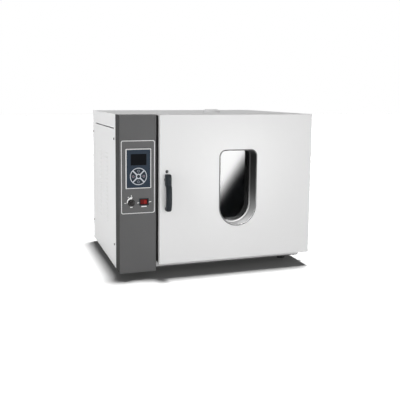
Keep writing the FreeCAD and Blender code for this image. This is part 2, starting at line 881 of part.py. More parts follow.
def fan_nut():
    """The nut that holds the fan on its shaft."""
    x0 = fan_x0 + fan_width * 0.6
    nut = hexagon(x0, fan_y, fan_z, nut_r, nut_t)
    return nut.cut(rod_x(fan_y, fan_z, shaft_r + press_clear, x0 - 1, x0 + nut_t + 1))


def fan_blade():
    """One blade, curved back from the eye to the rim, drawn about the axis and turned by the caller."""
    r0 = fan_r * 0.6
    r1 = fan_r
    lean = math.radians(24)
    thin = fan_disc / fan_r

    def at(r, a):
        return vec(0, r * math.sin(a), r * math.cos(a))
    mid = (r0 + r1) / 2
    first = Part.Arc(at(r0, 0), at(mid, lean * 0.28), at(r1, lean)).toShape()
    rim = Part.LineSegment(at(r1, lean), at(r1, lean + thin)).toShape()
    second = Part.Arc(at(r1, lean + thin), at(mid, lean * 0.28 + thin), at(r0, thin)).toShape()
    eye = Part.LineSegment(at(r0, thin), at(r0, 0)).toShape()
    return closed_face([first, rim, second, eye]).extrude(vec(fan_width - fan_disc * 0.5, 0, 0))


def fan_impeller():
    """The centrifugal fan: a back disc with its hub, curved blades and a front ring."""
    disc = rod_x(fan_y, fan_z, fan_r + 0.5, fan_x0, fan_x0 + fan_disc)
    hub = rod_x(fan_y, fan_z, fan_hub_r, fan_x0, fan_x0 + fan_width * 0.6)
    ring = rod_x(fan_y, fan_z, fan_r + 0.5, fan_x1 - fan_disc, fan_x1)
    ring = ring.cut(rod_x(fan_y, fan_z, fan_r * 0.72, fan_x0, fan_x1 + 1))
    parts = [disc, hub, ring]
    for k in range(fan_blades):
        blade = fan_blade()
        blade.rotate(vec(0, 0, 0), vec(1, 0, 0), 360.0 * k / fan_blades)
        blade.translate(vec(fan_x0 + fan_disc * 0.25, fan_y, fan_z))
        parts.append(blade)
    body = parts[0].multiFuse(parts[1:])
    return body.cut(rod_x(fan_y, fan_z, shaft_r + press_clear, fan_x0 - 1, fan_x1 + 1))


def heater():
    """A tubular heater bent round the fan, with two legs back to the control bay."""
    x = (fan_x0 + fan_x1) / 2
    half_gap = math.degrees(math.asin(heater_leg_half / heater_r))
    ring = Part.makeTorus(heater_r, heater_tube_r, vec(0, 0, 0), vec(0, 0, 1), -180, 180, 360 - 2 * half_gap)
    ring.rotate(vec(0, 0, 0), vec(0, 0, 1), 180 + half_gap)
    ring.rotate(vec(0, 0, 0), vec(0, 1, 0), 90)
    ring.translate(vec(x, fan_y, fan_z))
    parts = [ring]
    for y, z in heater_leg_places():
        parts.append(Part.makeSphere(heater_tube_r, vec(x, y, z)))
        end = partition_x0 - heater_leg_end
        parts.append(rod_x(y, z, heater_tube_r, end, x))
        parts.append(rod_x(y, z, heater_tube_r * 0.4, end - heater_pin_len, end + 1))
    return parts[0].multiFuse(parts[1:])


def temperature_probe():
    """The sensor, a rod from the control bay into the chamber, with a hexagon head on the partition."""
    y, z = probe_place()
    stem = rod_x(y, z, probe_r, partition_x0 - 1, chamber_x0 + probe_reach - probe_r)
    tip = Part.makeSphere(probe_r, vec(chamber_x0 + probe_reach - probe_r, y, z))
    head = hexagon(partition_x0, y, z, probe_hex_r, -probe_hex_t)
    tail = rod_x(y, z, probe_r, partition_x0 - probe_tail, partition_x0 - probe_hex_t + 1)
    return stem.multiFuse([tip, head, tail])


# The control column


def control_column():
    """The folded dark cover in front of the control bay, open at the back."""
    outer = block(column_x0, column_x1, column_y, front_y, column_lift, case_h)
    edges = [e for e in outer.Edges if all(abs(v.Y - column_y) < 0.01 for v in e.Vertexes)
             and abs(e.Vertexes[0].Z - e.Vertexes[1].Z) > 1]
    outer = outer.makeFillet(sheet * 1.5, edges)
    inner = block(column_x0 + sheet, column_x1 - sheet, column_y + sheet, front_y + 1,
                  column_lift + sheet, case_h - sheet)
    return outer.cut(group([inner] + panel_holes(column_y - 1, column_y + sheet + 1)))


def panel_holes(y0, y1):
    """Holes for the controller, the knob's bushing and the switch, through the plate or the column."""
    w = switch_w / 2 - switch_rim + 0.1
    h = switch_h / 2 - switch_rim + 0.1
    return [
        block(bezel_x0 + bezel_rim, bezel_x0 + bezel_w - bezel_rim, y0, y1,
              bezel_z0 + bezel_rim, bezel_z0 + bezel_h - bezel_rim),
        rod_y(knob_cx, knob_cz, knob_shaft_r + 1.7, y0, y1),
        block(switch_cx - w, switch_cx + w, y0, y1, switch_cz - h, switch_cz + h),
    ]


def plate_outline(inset, y0, y1):
    return rounded_front(plate_x0 + inset, plate_x0 + plate_w - inset, plate_z0 + inset,
                         plate_z0 + plate_h - inset, plate_corner - inset * 0.5, y0, y1)


def control_plate():
    return plate_outline(0, plate_y, column_y).cut(group(panel_holes(plate_y - 1, column_y + 1)))


def plate_trim():
    """The bright border round the control plate."""
    y0 = plate_y - trim_t
    return plate_outline(0, y0, plate_y).cut(plate_outline(trim_w, y0 - 1, plate_y + 1))


def bezel_outline(inset, y0, y1):
    return rounded_front(bezel_x0 + inset, bezel_x0 + bezel_w - inset, bezel_z0 + inset,
                         bezel_z0 + bezel_h - inset, max(bezel_corner - inset, 0.8), y0, y1)


def controller_bezel():
    """The bright frame of the controller, chamfered towards the front."""
    y0 = plate_y - bezel_t
    body = bezel_outline(0, y0, plate_y)
    edges = [e for e in body.Edges if all(abs(v.Y - y0) < 0.01 for v in e.Vertexes)]
    body = body.makeChamfer(1.2, edges)
    return body.cut(bezel_outline(bezel_rim, y0 - 1, plate_y + 1))


def controller_face():
    """The controller's face, with a stepped screen window and a round opening for the keypad."""
    body = bezel_outline(bezel_rim + 0.1, face_y, face_y + face_t)
    x0 = bezel_x0 + screen_x
    z0 = bezel_z0 + screen_z
    pocket = block(x0, x0 + screen_w, face_y - 1, face_y + screen_t, z0, z0 + screen_h)
    hole = block(x0 + 2, x0 + screen_w - 2, face_y - 1, face_y + face_t + 1, z0 + 2, z0 + screen_h - 2)
    keypad = rod_y(keypad_cx, keypad_cz, keypad_r, face_y - 1, face_y + face_t + 1)
    return body.cut(group([pocket, hole, keypad]))


def display_window():
    gap = 0.1
    x0 = bezel_x0 + screen_x + gap
    z0 = bezel_z0 + screen_z + gap
    return block(x0, x0 + screen_w - 2 * gap, face_y + gap, face_y + screen_t, z0, z0 + screen_h - 2 * gap)


def controller_case():
    """The controller's housing behind the face, with ribs and a terminal strip at the back."""
    inset = bezel_rim + 0.4
    y0 = face_y + face_t
    y1 = y0 + controller_depth
    body = bezel_outline(inset, y0, y1)
    x0 = bezel_x0 + inset + 6.0
    x1 = bezel_x0 + bezel_w - inset - 6.0
    z1 = bezel_z0 + bezel_h
    ribs = []
    for k in range(6):
        y = column_y + sheet + 10.0 + k * 6.0
        ribs.append(block(x0, x1, y, y + 2.4, z1 - inset - 1.0, z1))
    strip = block(x0, x1, y1, y1 + 8.0, bezel_z0 + 20.0, bezel_z0 + 34.0)
    return body.cut(group(ribs)).fuse(strip)


def keypad_bars(width, y0, y1):
    """Two crossed bars at 45 degrees over the keypad's centre."""
    bars = []
    for a in (45, 135):
        bar = block(-keypad_r + 0.5, keypad_r - 0.5, y0, y1, -width / 2, width / 2)
        bar.rotate(vec(0, 0, 0), vec(0, 1, 0), a)
        bar.translate(vec(keypad_cx, 0, keypad_cz))
        bars.append(bar)
    return bars


def key_back():
    return face_y + face_t - 1.3


def keypad_frame():
    """The round keypad's ring, crossed spokes and hub on a thin back with four stem holes."""
    r = keypad_r - 0.05
    y0 = face_y - keypad_raise
    back = rod_y(keypad_cx, keypad_cz, r, key_back(), face_y + face_t)
    ring = rod_y(keypad_cx, keypad_cz, r, y0, key_back())
    ring = ring.cut(rod_y(keypad_cx, keypad_cz, keypad_r - keypad_ring, y0 - 1, key_back() + 1))
    hub = rod_y(keypad_cx, keypad_cz, keypad_hub_r, y0, key_back())
    body = joined([back, ring, hub] + keypad_bars(keypad_spoke, y0, key_back()))
    holes = [rod_y(x, z, key_stem_r + run_clear, y0, face_y + face_t + 1) for x, z in key_places()]
    return body.cut(group(holes))


def key_mid_r():
    return (keypad_hub_r + keypad_r - keypad_ring) / 2 + 1.0


def key_places():
    """Centres of the four keys: right, up, left, down."""
    r = key_mid_r()
    return [(keypad_cx + r * math.cos(math.radians(a)), keypad_cz + r * math.sin(math.radians(a)))
            for a in (0, 90, 180, 270)]


def key(index):
    """One petal-shaped key with its stem."""
    y0 = face_y - key_proud
    y1 = key_back() - key_travel - 0.1
    petals = rod_y(keypad_cx, keypad_cz, keypad_r - keypad_ring - key_clear, y0, y1)
    hub = rod_y(keypad_cx, keypad_cz, keypad_hub_r + key_clear, y0 - 1, y1 + 1)
    petals = petals.cut(group([hub] + keypad_bars(keypad_spoke + 2 * key_clear, y0 - 1, y1 + 1)))
    x, z = key_places()[index]
    for petal in petals.Solids:
        middle = petal.CenterOfMass
        if math.hypot(middle.x - x, middle.z - z) < key_mid_r() / 2:
            stem = rod_y(x, z, key_stem_r, y1 - 0.1, face_y + face_t - key_travel - 0.1)
            return petal.fuse(stem)


def knob_bushing():
    """The knob's control behind the plate: a neck through the column and a round body."""
    bore = knob_shaft_r + run_clear
    neck = knob_shaft_r + 1.6
    step = 2.0 + plate_t + sheet
    points = [(bore, 0), (neck, 0), (neck, step), (10.0, step), (10.0, step + 10.0), (0, step + 10.0)]
    points += [(0, step + 8.0), (bore, step + 8.0)]
    return turned(points, knob_cx, plate_y - 2.0, knob_cz, vec(0, 1, 0))


def knob_shaft():
    return rod_y(knob_cx, knob_cz, knob_shaft_r, plate_y - knob_h * 0.7, plate_y + plate_t + sheet + 6.0)


def knob():
    """A fluted knob with a skirt, a blind bore and a pointer groove."""
    bore = knob_shaft_r + press_clear
    r = knob_r
    depth = knob_h * 0.7
    points = [(5.6, 0.4), (r, 0.4), (r, 2.0), (r - 1.4, knob_skirt), (r - 1.4, knob_h - 1.2)]
    points += [(r - 2.8, knob_h), (0, knob_h), (0, depth), (bore, depth), (bore, 3.0), (5.6, 3.0)]
    body = turned(points, knob_cx, plate_y, knob_cz, vec(0, -1, 0))
    cuts = []
    for k in range(knob_flutes):
        a = 2 * math.pi * k / knob_flutes
        x = knob_cx + (r - 1.1) * math.cos(a)
        z = knob_cz + (r - 1.1) * math.sin(a)
        cuts.append(rod_y(x, z, 0.9, plate_y - knob_h - 1, plate_y - knob_skirt - 1.0))
    pointer = block(knob_cx - r + 3.4, knob_cx - 2.0, plate_y - knob_h - 1, plate_y - knob_h + 0.6,
                    knob_cz - 0.6, knob_cz + 0.6)
    return body.cut(group(cuts + [pointer]))


def rocker_pivot_y():
    return plate_y + 4.0


def switch_pocket():
    """Half width and half height of the switch's open pocket."""
    wall = 1.2
    return switch_w / 2 - switch_rim - wall, switch_h / 2 - switch_rim - wall


def switch_body():
    """The rocker switch's housing: a rim on the plate, a tub behind it and three tabs."""
    w = switch_w / 2 - switch_rim
    h = switch_h / 2 - switch_rim
    pocket_w, pocket_h = switch_pocket()
    rim = rounded_front(switch_cx - switch_w / 2, switch_cx + switch_w / 2, switch_cz - switch_h / 2,
                        switch_cz + switch_h / 2, 1.5, plate_y - switch_rim_t, plate_y)
    tub = block(switch_cx - w, switch_cx + w, plate_y, plate_y + switch_depth, switch_cz - h, switch_cz + h)
    tabs = []
    for k in (-1, 0, 1):
        x = switch_cx + k * 8.0
        y1 = plate_y + switch_depth
        tabs.append(block(x - 0.4, x + 0.4, y1, y1 + 8.0, switch_cz - 3.0, switch_cz + 3.0))
    body = joined([rim, tub] + tabs)
    pocket = block(switch_cx - pocket_w, switch_cx + pocket_w, plate_y - switch_rim_t - 1, plate_y + 13.0,
                   switch_cz - pocket_h, switch_cz + pocket_h)
    axle = rod_z(switch_cx, rocker_pivot_y(), rocker_pin_r + run_clear, switch_cz - pocket_h - 0.9,
                 switch_cz + pocket_h + 0.9)
    return body.cut(pocket).cut(axle)


def rocker():
    """The rocker, two sloping faces meeting over its axle, resting with its right half out."""
    pocket_w, pocket_h = switch_pocket()
    w = pocket_w - 1.3
    h = pocket_h - rocker_clear
    y = plate_y
    front = [vec(-w, y - 1.8, -h), vec(-w * 0.45, y - 0.4, -h), vec(0, y + 0.2, -h)]
    front += [vec(w * 0.45, y - 0.4, -h), vec(w, y - 1.8, -h)]
    edges = [Part.LineSegment(a, b).toShape() for a, b in zip(front[:-1], front[1:])]
    edges.append(Part.LineSegment(vec(w, y - 1.8, -h), vec(w, y + 3.5, -h)).toShape())
    edges.append(Part.Arc(vec(w, y + 3.5, -h), vec(0, y + 8.5, -h), vec(-w, y + 3.5, -h)).toShape())
    edges.append(Part.LineSegment(vec(-w, y + 3.5, -h), vec(-w, y - 1.8, -h)).toShape())
    body = closed_face(edges).extrude(vec(0, 0, 2 * h))
    axle = rod_z(0, rocker_pivot_y(), rocker_pin_r, -pocket_h - 0.7, pocket_h + 0.7)
    body = body.fuse(axle)
    body.rotate(vec(0, rocker_pivot_y(), 0), vec(0, 0, 1), -rocker_tilt_deg)
    body.translate(vec(switch_cx, 0, switch_cz))
    return body


def power_relay():
    """The heater's relay on the base pan, with a finned back and two terminal blocks."""
    x0 = relay_x
    x1 = relay_x + relay_w
    y0 = rear_y - relay_back
    y1 = y0 + relay_d
    z1 = sheet + relay_h
    body = block(x0, x1, y0, y1, sheet, z1)
    fins = []
    for k in range(int(relay_d / (2 * relay_fin))):
        y = y0 + (2 * k + 1) * relay_fin
        fins.append(block(x0 - 1, x1 + 1, y, y + relay_fin, z1 - relay_h * 0.46, z1 + 1))
    body = body.cut(group(fins))
    ends = []
    for x in (x0 + 1, x1 - relay_end - 1):
        ends.append(block(x, x + relay_end, y0 + 3, y1 - 3, z1 - relay_h * 0.6, z1 + relay_h * 0.3))
    return joined([body] + ends)


def cable_gland():
    """The empty gland in the rear cover: a dome nut outside and a lock nut inside."""
    neck = gland_r * 0.75 - 0.1
    nut = -sheet - gland_nut_t
    flare = gland_r * 0.28
    points = [(gland_bore_r, -gland_neck_len), (neck, -gland_neck_len), (neck, nut), (gland_r * 1.17, nut)]
    points += [(gland_r * 1.17, -sheet), (neck, -sheet), (neck, 0), (gland_r + flare, 0)]
    points += [(gland_r + flare, gland_nut_t), (gland_r, gland_nut_t + 1), (gland_r, gland_len * 0.73)]
    points += [(gland_r - flare, gland_len)]
    points += [(gland_bore_r, gland_len)]
    return turned(points, gland_x, rear_y, gland_z, vec(0, 1, 0))


# The door


def plug_outline(grow, y0, y1):
    """The raised part of the door's inner side, grown all round."""
    inset = plug_inset - grow
    r = max(liner_corner - plug_inset * 0.3 + grow, 1.0)
    return rounded_front(chamber_x0 + inset, chamber_x1 - inset, chamber_z0 + inset, chamber_z1 - inset,
                         r, y0, y1)


def plug_y():
    return door_t + plug_depth


def door_skin():
    """The door's outer pan, folded back on four sides with a narrow return at the rear."""
    outer = block(door_x0, door_x1, 0, door_t, door_z0, door_z1)
    edges = [e for e in outer.Edges if all(abs(v.Y) < 0.01 for v in e.Vertexes)]
    outer = outer.makeFillet(door_sheet * 1.2, edges)
    s = door_sheet
    inner = block(door_x0 + s, door_x1 - s, s, door_t - s, door_z0 + s, door_z1 - s)
    back = block(door_x0 + rear_return, door_x1 - rear_return, s, door_t + 1,
                 door_z0 + rear_return, door_z1 - rear_return)
    window = window_block(window_wall + 0.1, -1, door_sheet + 1)
    bush = rod_y(handle_x, handle_z, bush_r + 0.1, -1, door_t + 1)
    cap = rod_y(handle_screw_x(), handle_screw_z(), screw_shank_r + 0.1, -1, door_sheet + 1)
    return outer.cut(group([inner, back, window, bush, cap] + door_hinge_holes()))


def handle_screw_x():
    return handle_x - 1.0


def handle_screw_z():
    return handle_z + handle_head_up + 8.0


def door_liner():
    """The stainless inner side of the door: a flat margin and a raised plug round the window."""
    inset = 6.0
    plate = block(door_x0 + inset, door_x1 - inset, door_t, door_t + liner,
                  door_z0 + inset, door_z1 - inset)
    plug = plug_outline(0, door_t, plug_y())
    hollow = plug_outline(-liner, door_t - 1, plug_y() - liner)
    bush = rod_y(handle_x, handle_z, bush_r + 0.1, door_t - 1, door_t + liner + 1)
    return joined([plate, plug]).cut(group([hollow, bush, window_block(-3.0, door_t, plug_y() + 1)]))


def door_insulation():
    """The wool inside the door."""
    gap = 0.3
    s = door_sheet + gap
    main = block(door_x0 + s, door_x1 - s, s, door_t - s, door_z0 + s, door_z1 - s)
    plug = plug_outline(-liner - gap, door_t - s - 1, plug_y() - liner - gap)
    body = main.fuse(plug)
    holes = [window_block(window_wall + 0.4, 0, plug_y()), inner_glass_block(gap, door_t - s)]
    holes.append(rod_y(handle_x, handle_z, bush_r + 0.1, 0, door_t + 1))
    holes.append(rod_y(handle_screw_x(), handle_screw_z(), screw_shank_r + 0.3, 0, screw_len + 2.0))
    for y, z in door_screw_places():
        holes.append(rod_x(y, z, screw_shank_r + 0.3, door_x1 - screw_len - 2.0, door_x1))
    return body.cut(group(holes))


def window_frame():
    """The polished frame: a thin rim on the skin, a deep tunnel and a lip before the glass."""
    edge = window_recess + window_wall
    rim = window_block(window_rim, -window_rim_t, 0)
    tunnel = window_block(window_wall, 0, edge + glass_t + glass_pocket)
    body = joined([rim, tunnel])
    body = body.cut(window_block(-window_lip, -window_rim_t - 1, edge + glass_t + 1))
    body = body.cut(window_block(0, -window_rim_t - 1, window_recess))
    return body.cut(window_block(0, edge, edge + glass_t + 1))


def window_glass_outer():
    y0 = window_recess + window_wall + rest_gap
    return window_block(-glass_pocket, y0, y0 + glass_t)


def inner_glass_y():
    """Front and back of the inner pane, which lies against the plug's window from inside."""
    y1 = plug_y() - liner - rest_gap
    return y1 - glass_t, y1


def inner_glass_block(grow, y0):
    return window_block(6.0 + grow, y0, inner_glass_y()[1] + grow)


def window_glass_inner():
    return inner_glass_block(0, inner_glass_y()[0])


def window_spacer():
    """The ring that holds the two panes apart and presses both against their lips."""
    y0 = window_recess + window_wall + glass_t + glass_pocket
    y1 = inner_glass_y()[0] - rest_gap
    return window_block(window_wall, y0 + rest_gap, y1).cut(window_block(-3.0, y0 - 1, y1 + 1))


def door_seal():
    """The silicone seal round the plug, with a groove along its face."""
    y0 = door_t + liner
    y1 = front_y - seal_clear
    body = plug_outline(seal_out + seal_w, y0, y1).cut(plug_outline(seal_out, y0 - 1, y1 + 1))
    mid = seal_out + seal_w / 2
    groove = plug_outline(mid + 2.0, y1 - 3.0, y1 + 1).cut(plug_outline(mid - 2.0, y1 - 4.0, y1 + 2))
    return body.cut(groove)


# Hinges


def hinge_starts():
    """Heights of the lower ends of the two hinges."""
    return (door_z0 + hinge_from_end, door_z1 - hinge_from_end - hinge_h)


def hinge_third():
    return hinge_h / 3


def hinge_screw_places():
    """Depth and height of the screws in the case's leaves."""
    places = []
    for z in hinge_starts():
        for dz in (hinge_h * hinge_screw_end, hinge_h * (1 - hinge_screw_end)):
            places.append((front_y + hinge_screw_in, z + dz))
            places.append((front_y + hinge_screw_in + hinge_screw_pitch, z + dz))
    return places


def door_screw_places():
    """Depth and height of the screws in the door's leaves."""
    places = []
    for z in hinge_starts():
        for dz in (hinge_h * hinge_screw_end, hinge_h * (1 - hinge_screw_end)):
            places.append((hinge_y - 2 * hinge_screw_in, z + dz))
            places.append((hinge_y - 2 * hinge_screw_in - hinge_screw_pitch, z + dz))
    return places


def hinge_screw_holes():
    return [rod_x(y, z, screw_shank_r + 0.1, case_w - 3 * sheet, case_w + hinge_leaf + 1)
            for y, z in hinge_screw_places()]


def door_hinge_holes():
    return [rod_x(y, z, screw_shank_r + 0.1, door_x1 - 2 * door_sheet, door_x1 + hinge_leaf + 1)
            for y, z in door_screw_places()]


def hinge_case_leaves():
    """The fixed leaves: a plate on the case's side, two knuckles and the pin pressed into them."""
    r = hinge_knuckle_r
    gap = hinge_gap
    leaf_y0 = front_y + hinge_case_start
    leaves = []
    for z0 in hinge_starts():
        third = hinge_third()
        parts = [block(case_w, case_w + hinge_leaf, leaf_y0, leaf_y0 + hinge_case_len, z0, z0 + hinge_h)]
        for a in (z0, z0 + 2 * third + gap):
            parts.append(rod_z(hinge_x, hinge_y, r, a, a + third - gap))
            parts.append(block(case_w, hinge_x, hinge_y, hinge_y + r, a, a + third - gap))
            parts.append(block(case_w, case_w + hinge_leaf, hinge_y, leaf_y0 + 1, a, a + third - gap))
        top = z0 + hinge_h + hinge_pin_over
        parts.append(rod_z(hinge_x, hinge_y, hinge_pin_r, z0 - hinge_pin_over, top))
        parts.append(rod_z(hinge_x, hinge_y, r * 0.8, z0 + hinge_h - gap, top))
        leaves.append(joined(parts))
    return group(leaves).cut(group(hinge_screw_holes()))


def hinge_door_leaves():
    """The moving leaves: a plate on the door's side and the middle knuckle, bored for the pin."""
    r = hinge_knuckle_r
    gap = hinge_gap
    leaves = []
    for z0 in hinge_starts():
        a = z0 + hinge_third()
        b = a + hinge_third()
        y1 = hinge_y - r - hinge_pin_over
        plate = block(door_x1, door_x1 + hinge_leaf, hinge_y - hinge_door_len, y1, z0, z0 + hinge_h)
        web = block(door_x1, hinge_x, hinge_y - r, hinge_y - r + hinge_leaf + 0.5, a, b)
        tie = block(door_x1, door_x1 + hinge_leaf, y1 - 1, hinge_y - r + hinge_leaf + 0.5, a, b)
        knuckle = rod_z(hinge_x, hinge_y, r, a, b)
        leaf = joined([plate, web, tie, knuckle])
        leaves.append(leaf.cut(rod_z(hinge_x, hinge_y, hinge_pin_r + run_clear, a - gap, b + gap)))
    return group(leaves).cut(group(door_hinge_holes()))


def door_screws():
    """The hinge screws in the door and the bright domed screw above the handle."""
    face_x = door_x1 + hinge_leaf
    screws = [screw(face_x, y, z, vec(1, 0, 0), small_head_r, 1.4) for y, z in door_screw_places()]
    x = handle_screw_x()
    z = handle_screw_z()
    dome = [(0, -screw_len), (screw_shank_r, -screw_len), (screw_shank_r, 0), (5.0, 0), (5.0, 0.8)]
    dome += [(4.2, 2.0), (2.6, 2.9), (0, 3.2)]
    screws.append(turned(dome, x, 0, z, vec(0, -1, 0)))
    return group(screws)


# Handle and latch


def slab_wire(z, y0, y1, half_w, r):
    """A rounded rectangle at one height, centred on the handle."""
    x0 = handle_x - half_w
    x1 = handle_x + half_w
    c = r * (1 - math.sqrt(0.5))
    corners = [(x0, y0, 1, 1), (x1, y0, -1, 1), (x1, y1, -1, -1), (x0, y1, 1, -1)]
    edges = []
    ends = []
    for i, (x, y, sx, sy) in enumerate(corners):
        along = vec(x + sx * r, y, z)
        across = vec(x, y + sy * r, z)
        mid = vec(x + sx * c, y + sy * c, z)
        first, last = (across, along) if i % 2 == 0 else (along, across)
        edges.append(Part.Arc(first, mid, last).toShape())
        ends.append((first, last))
    lines = []
    for i in range(4):
        lines.append(Part.LineSegment(ends[i][1], ends[(i + 1) % 4][0]).toShape())
    ordered = []
    for arc, line in zip(edges, lines):
        ordered += [arc, line]
    return Part.Wire(ordered)


def lever_handle():
    """The moulded lever: a deep head on the spindle, an arched grip and a foot that turns to the door."""
    half = handle_w / 2
    top = handle_z + handle_head_up
    low = handle_z - handle_head_down
    reach = handle_reach
    head = Part.makeLoft([
        slab_wire(top, -reach + 1.0, -handle_gap, half - 0.6, 2.5),
        slab_wire(top - 3.0, -reach, -handle_gap, half, 3.0),
        slab_wire(low + 4.0, -reach - 2.0, -handle_gap, half, 3.0),
        slab_wire(low - 2.0, -reach - 3.0, -handle_gap - 5.0, half - 0.5, 3.0),
    ], True, True)
    arch = reach - 5.0
    grip = Part.makeLoft([
        slab_wire(low + 6.0, -arch - grip_t + 5.0, -arch + 4.0, half - 0.6, 3.0),
        slab_wire(low - grip_len * 0.3, -arch - grip_t, -arch, half - 0.4, 3.5),
        slab_wire(low - grip_len * 0.6, -arch - grip_t - 0.6, -arch - 0.6, half - 0.4, 3.5),
        slab_wire(low - grip_len, -arch - grip_t + 1.5, -arch + 0.5, half - 0.8, 3.0),
    ], True, False)
    foot_top = low - grip_len
    foot = Part.makeLoft([
        slab_wire(foot_top + 2.0, -arch - grip_t + 1.5, -handle_gap - 4.0, half - 0.8, 2.5),
        slab_wire(foot_top - 3.0, -arch - grip_t + 2.5, -handle_gap, half - 0.6, 2.5),
        slab_wire(foot_top - foot_len + 3.0, -arch - grip_t + 4.5, -handle_gap, half - 1.0, 2.5),
        slab_wire(foot_top - foot_len, -arch - grip_t + 7.5, -handle_gap - 1.5, half - 3.0, 2.0),
    ], True, True)
    body = head.multiFuse([grip, foot])
    bore = rod_y(handle_x, handle_z, spindle_r + press_clear, -reach * 0.75, 1)
    return body.cut(bore)


def latch_bush():
    """The bush that carries the spindle through the door."""
    tube = rod_y(handle_x, handle_z, bush_r, 0, door_t + liner)
    return tube.cut(rod_y(handle_x, handle_z, spindle_r + run_clear, -1, door_t + liner + 1))


def handle_spindle():
    return rod_y(handle_x, handle_z, spindle_r, -handle_reach * 0.75 + press_clear, tongue_y1 + 2.5)


def latch_tongue():
    """The cam on the spindle's end, whose arm hooks behind the keeper."""
    hub = rod_y(handle_x, handle_z, spindle_r + 4.0, tongue_y0, tongue_y1)
    x0 = handle_x - tongue_len
    arm = block(x0 + 2.0, handle_x, tongue_y0, tongue_y1, handle_z - tongue_h / 2, handle_z + tongue_h / 2)
    tip = block(x0, x0 + 3.0, tongue_y0, tongue_y1, handle_z - tongue_h / 2 + 1.5,
                handle_z + tongue_h / 2 - 1.5)
    return joined([hub, arm, tip]).cut(
        rod_y(handle_x, handle_z, spindle_r + press_clear, tongue_y0 - 1, tongue_y1 + 1))


def keeper_ends():
    return door_x0 + 1.0, door_x0 + 1.0 + keeper_w


def keeper_wall_z():
    return handle_z + tongue_h / 2 + keeper_over


def keeper_screw_places():
    x0, x1 = keeper_ends()
    heights = (keeper_screw_up, keeper_screw_up + keeper_screw_pitch)
    return [((x0 + x1) / 2, keeper_wall_z() + dz) for dz in heights]


def keeper_screw_holes():
    return [rod_y(x, z, screw_shank_r + 0.1, front_y - keeper_t - 1, front_y + sheet + 1)
            for x, z in keeper_screw_places()]


def latch_keeper():
    """The folded bracket on the cabinet's face: a base, a shelf and a lip that the tongue hooks behind."""
    x0, x1 = keeper_ends()
    z = keeper_wall_z()
    y_lip = tongue_y0 - keeper_gap
    base = block(x0, x1, front_y - keeper_t, front_y, z, z + keeper_h)
    wall = block(x0, x1, y_lip - keeper_t, front_y, z, z + keeper_t)
    lip = block(x0, x1, y_lip - keeper_t, y_lip, handle_z - tongue_h / 2 - 2.0, z + keeper_t)
    return joined([base, wall, lip]).cut(group(keeper_screw_holes()))


# Every piece by name


def nodes():
    """Each node's name and its shape in the case's coordinates."""
    return {
        "front_frame": front_frame(),
        "top_panel": top_panel(),
        "left_cover": left_cover(),
        "right_panel": right_panel(),
        "base_pan": base_pan(),
        "back_panel": back_panel(),
        "case_screws": case_screws(),
        "partition": partition(),
        "insulation": insulation(),
        "inner_chamber": inner_chamber(),
        "duct_panel_left": duct_panel_left(),
        "duct_panel_right": duct_panel_right(),
        "shelf_rails": shelf_rails(),
        "shelf_upper": wire_shelf(shelf_upper_level),
        "shelf_lower": wire_shelf(shelf_lower_level),
        "feet": feet(),
        "vent_pipe": vent_pipe(),
        "vent_base": vent_base(),
        "vent_damper": vent_damper(),
        "fan_motor": fan_motor(),
        "shaft_sleeve": shaft_sleeve(),
        "fan_shaft": fan_shaft(),
        "fan_impeller": fan_impeller(),
        "heater": heater(),
        "temperature_probe": temperature_probe(),
        "control_column": control_column(),
        "control_plate": control_plate(),
        "plate_trim": plate_trim(),
        "controller_case": controller_case(),
        "controller_bezel": controller_bezel(),
        "controller_face": controller_face(),
        "display_window": display_window(),
        "keypad_frame": keypad_frame(),
        "key_right": key(0),
        "key_up": key(1),
        "key_left": key(2),
        "key_down": key(3),
        "knob_bushing": knob_bushing(),
        "knob_shaft": knob_shaft(),
        "knob": knob(),
        "switch_body": switch_body(),
        "rocker": rocker(),
        "power_relay": power_relay(),
        "cable_gland": cable_gland(),
        "door_skin": door_skin(),
        "door_liner": door_liner(),
        "door_insulation": door_insulation(),
        "window_frame": window_frame(),
        "window_glass_outer": window_glass_outer(),
        "window_glass_inner": window_glass_inner(),
        "window_spacer": window_spacer(),
        "door_seal": door_seal(),
        "hinge_case_leaves": hinge_case_leaves(),
        "hinge_door_leaves": hinge_door_leaves(),
        "door_screws": door_screws(),
        "latch_bush": latch_bush(),
        "latch_keeper": latch_keeper(),
        "lever_handle": lever_handle(),
        "handle_spindle": handle_spindle(),
        "latch_tongue": latch_tongue(),
    }


def origin():
    """The point on the bench under the middle of the oven, in the case's coordinates."""
    handle_front = lever_handle().optimalBoundingBox().YMin
    x0 = column_x0
    x1 = hinge_x + hinge_knuckle_r
    y1 = rear_y + gland_len
    return vec((x0 + x1) / 2, (handle_front + y1) / 2, -foot_h)


def main():
    os.makedirs("parts", exist_ok=True)
    shift = -origin()
    for name, shape in nodes().items():
        shape.translate(shift)
        shape.exportStep(os.path.join("parts", name + ".step"))


if __name__ == "__main__":
    main()
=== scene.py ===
import bmesh
import bpy
import json
import math
import numpy as np
from mathutils import Matrix, Vector


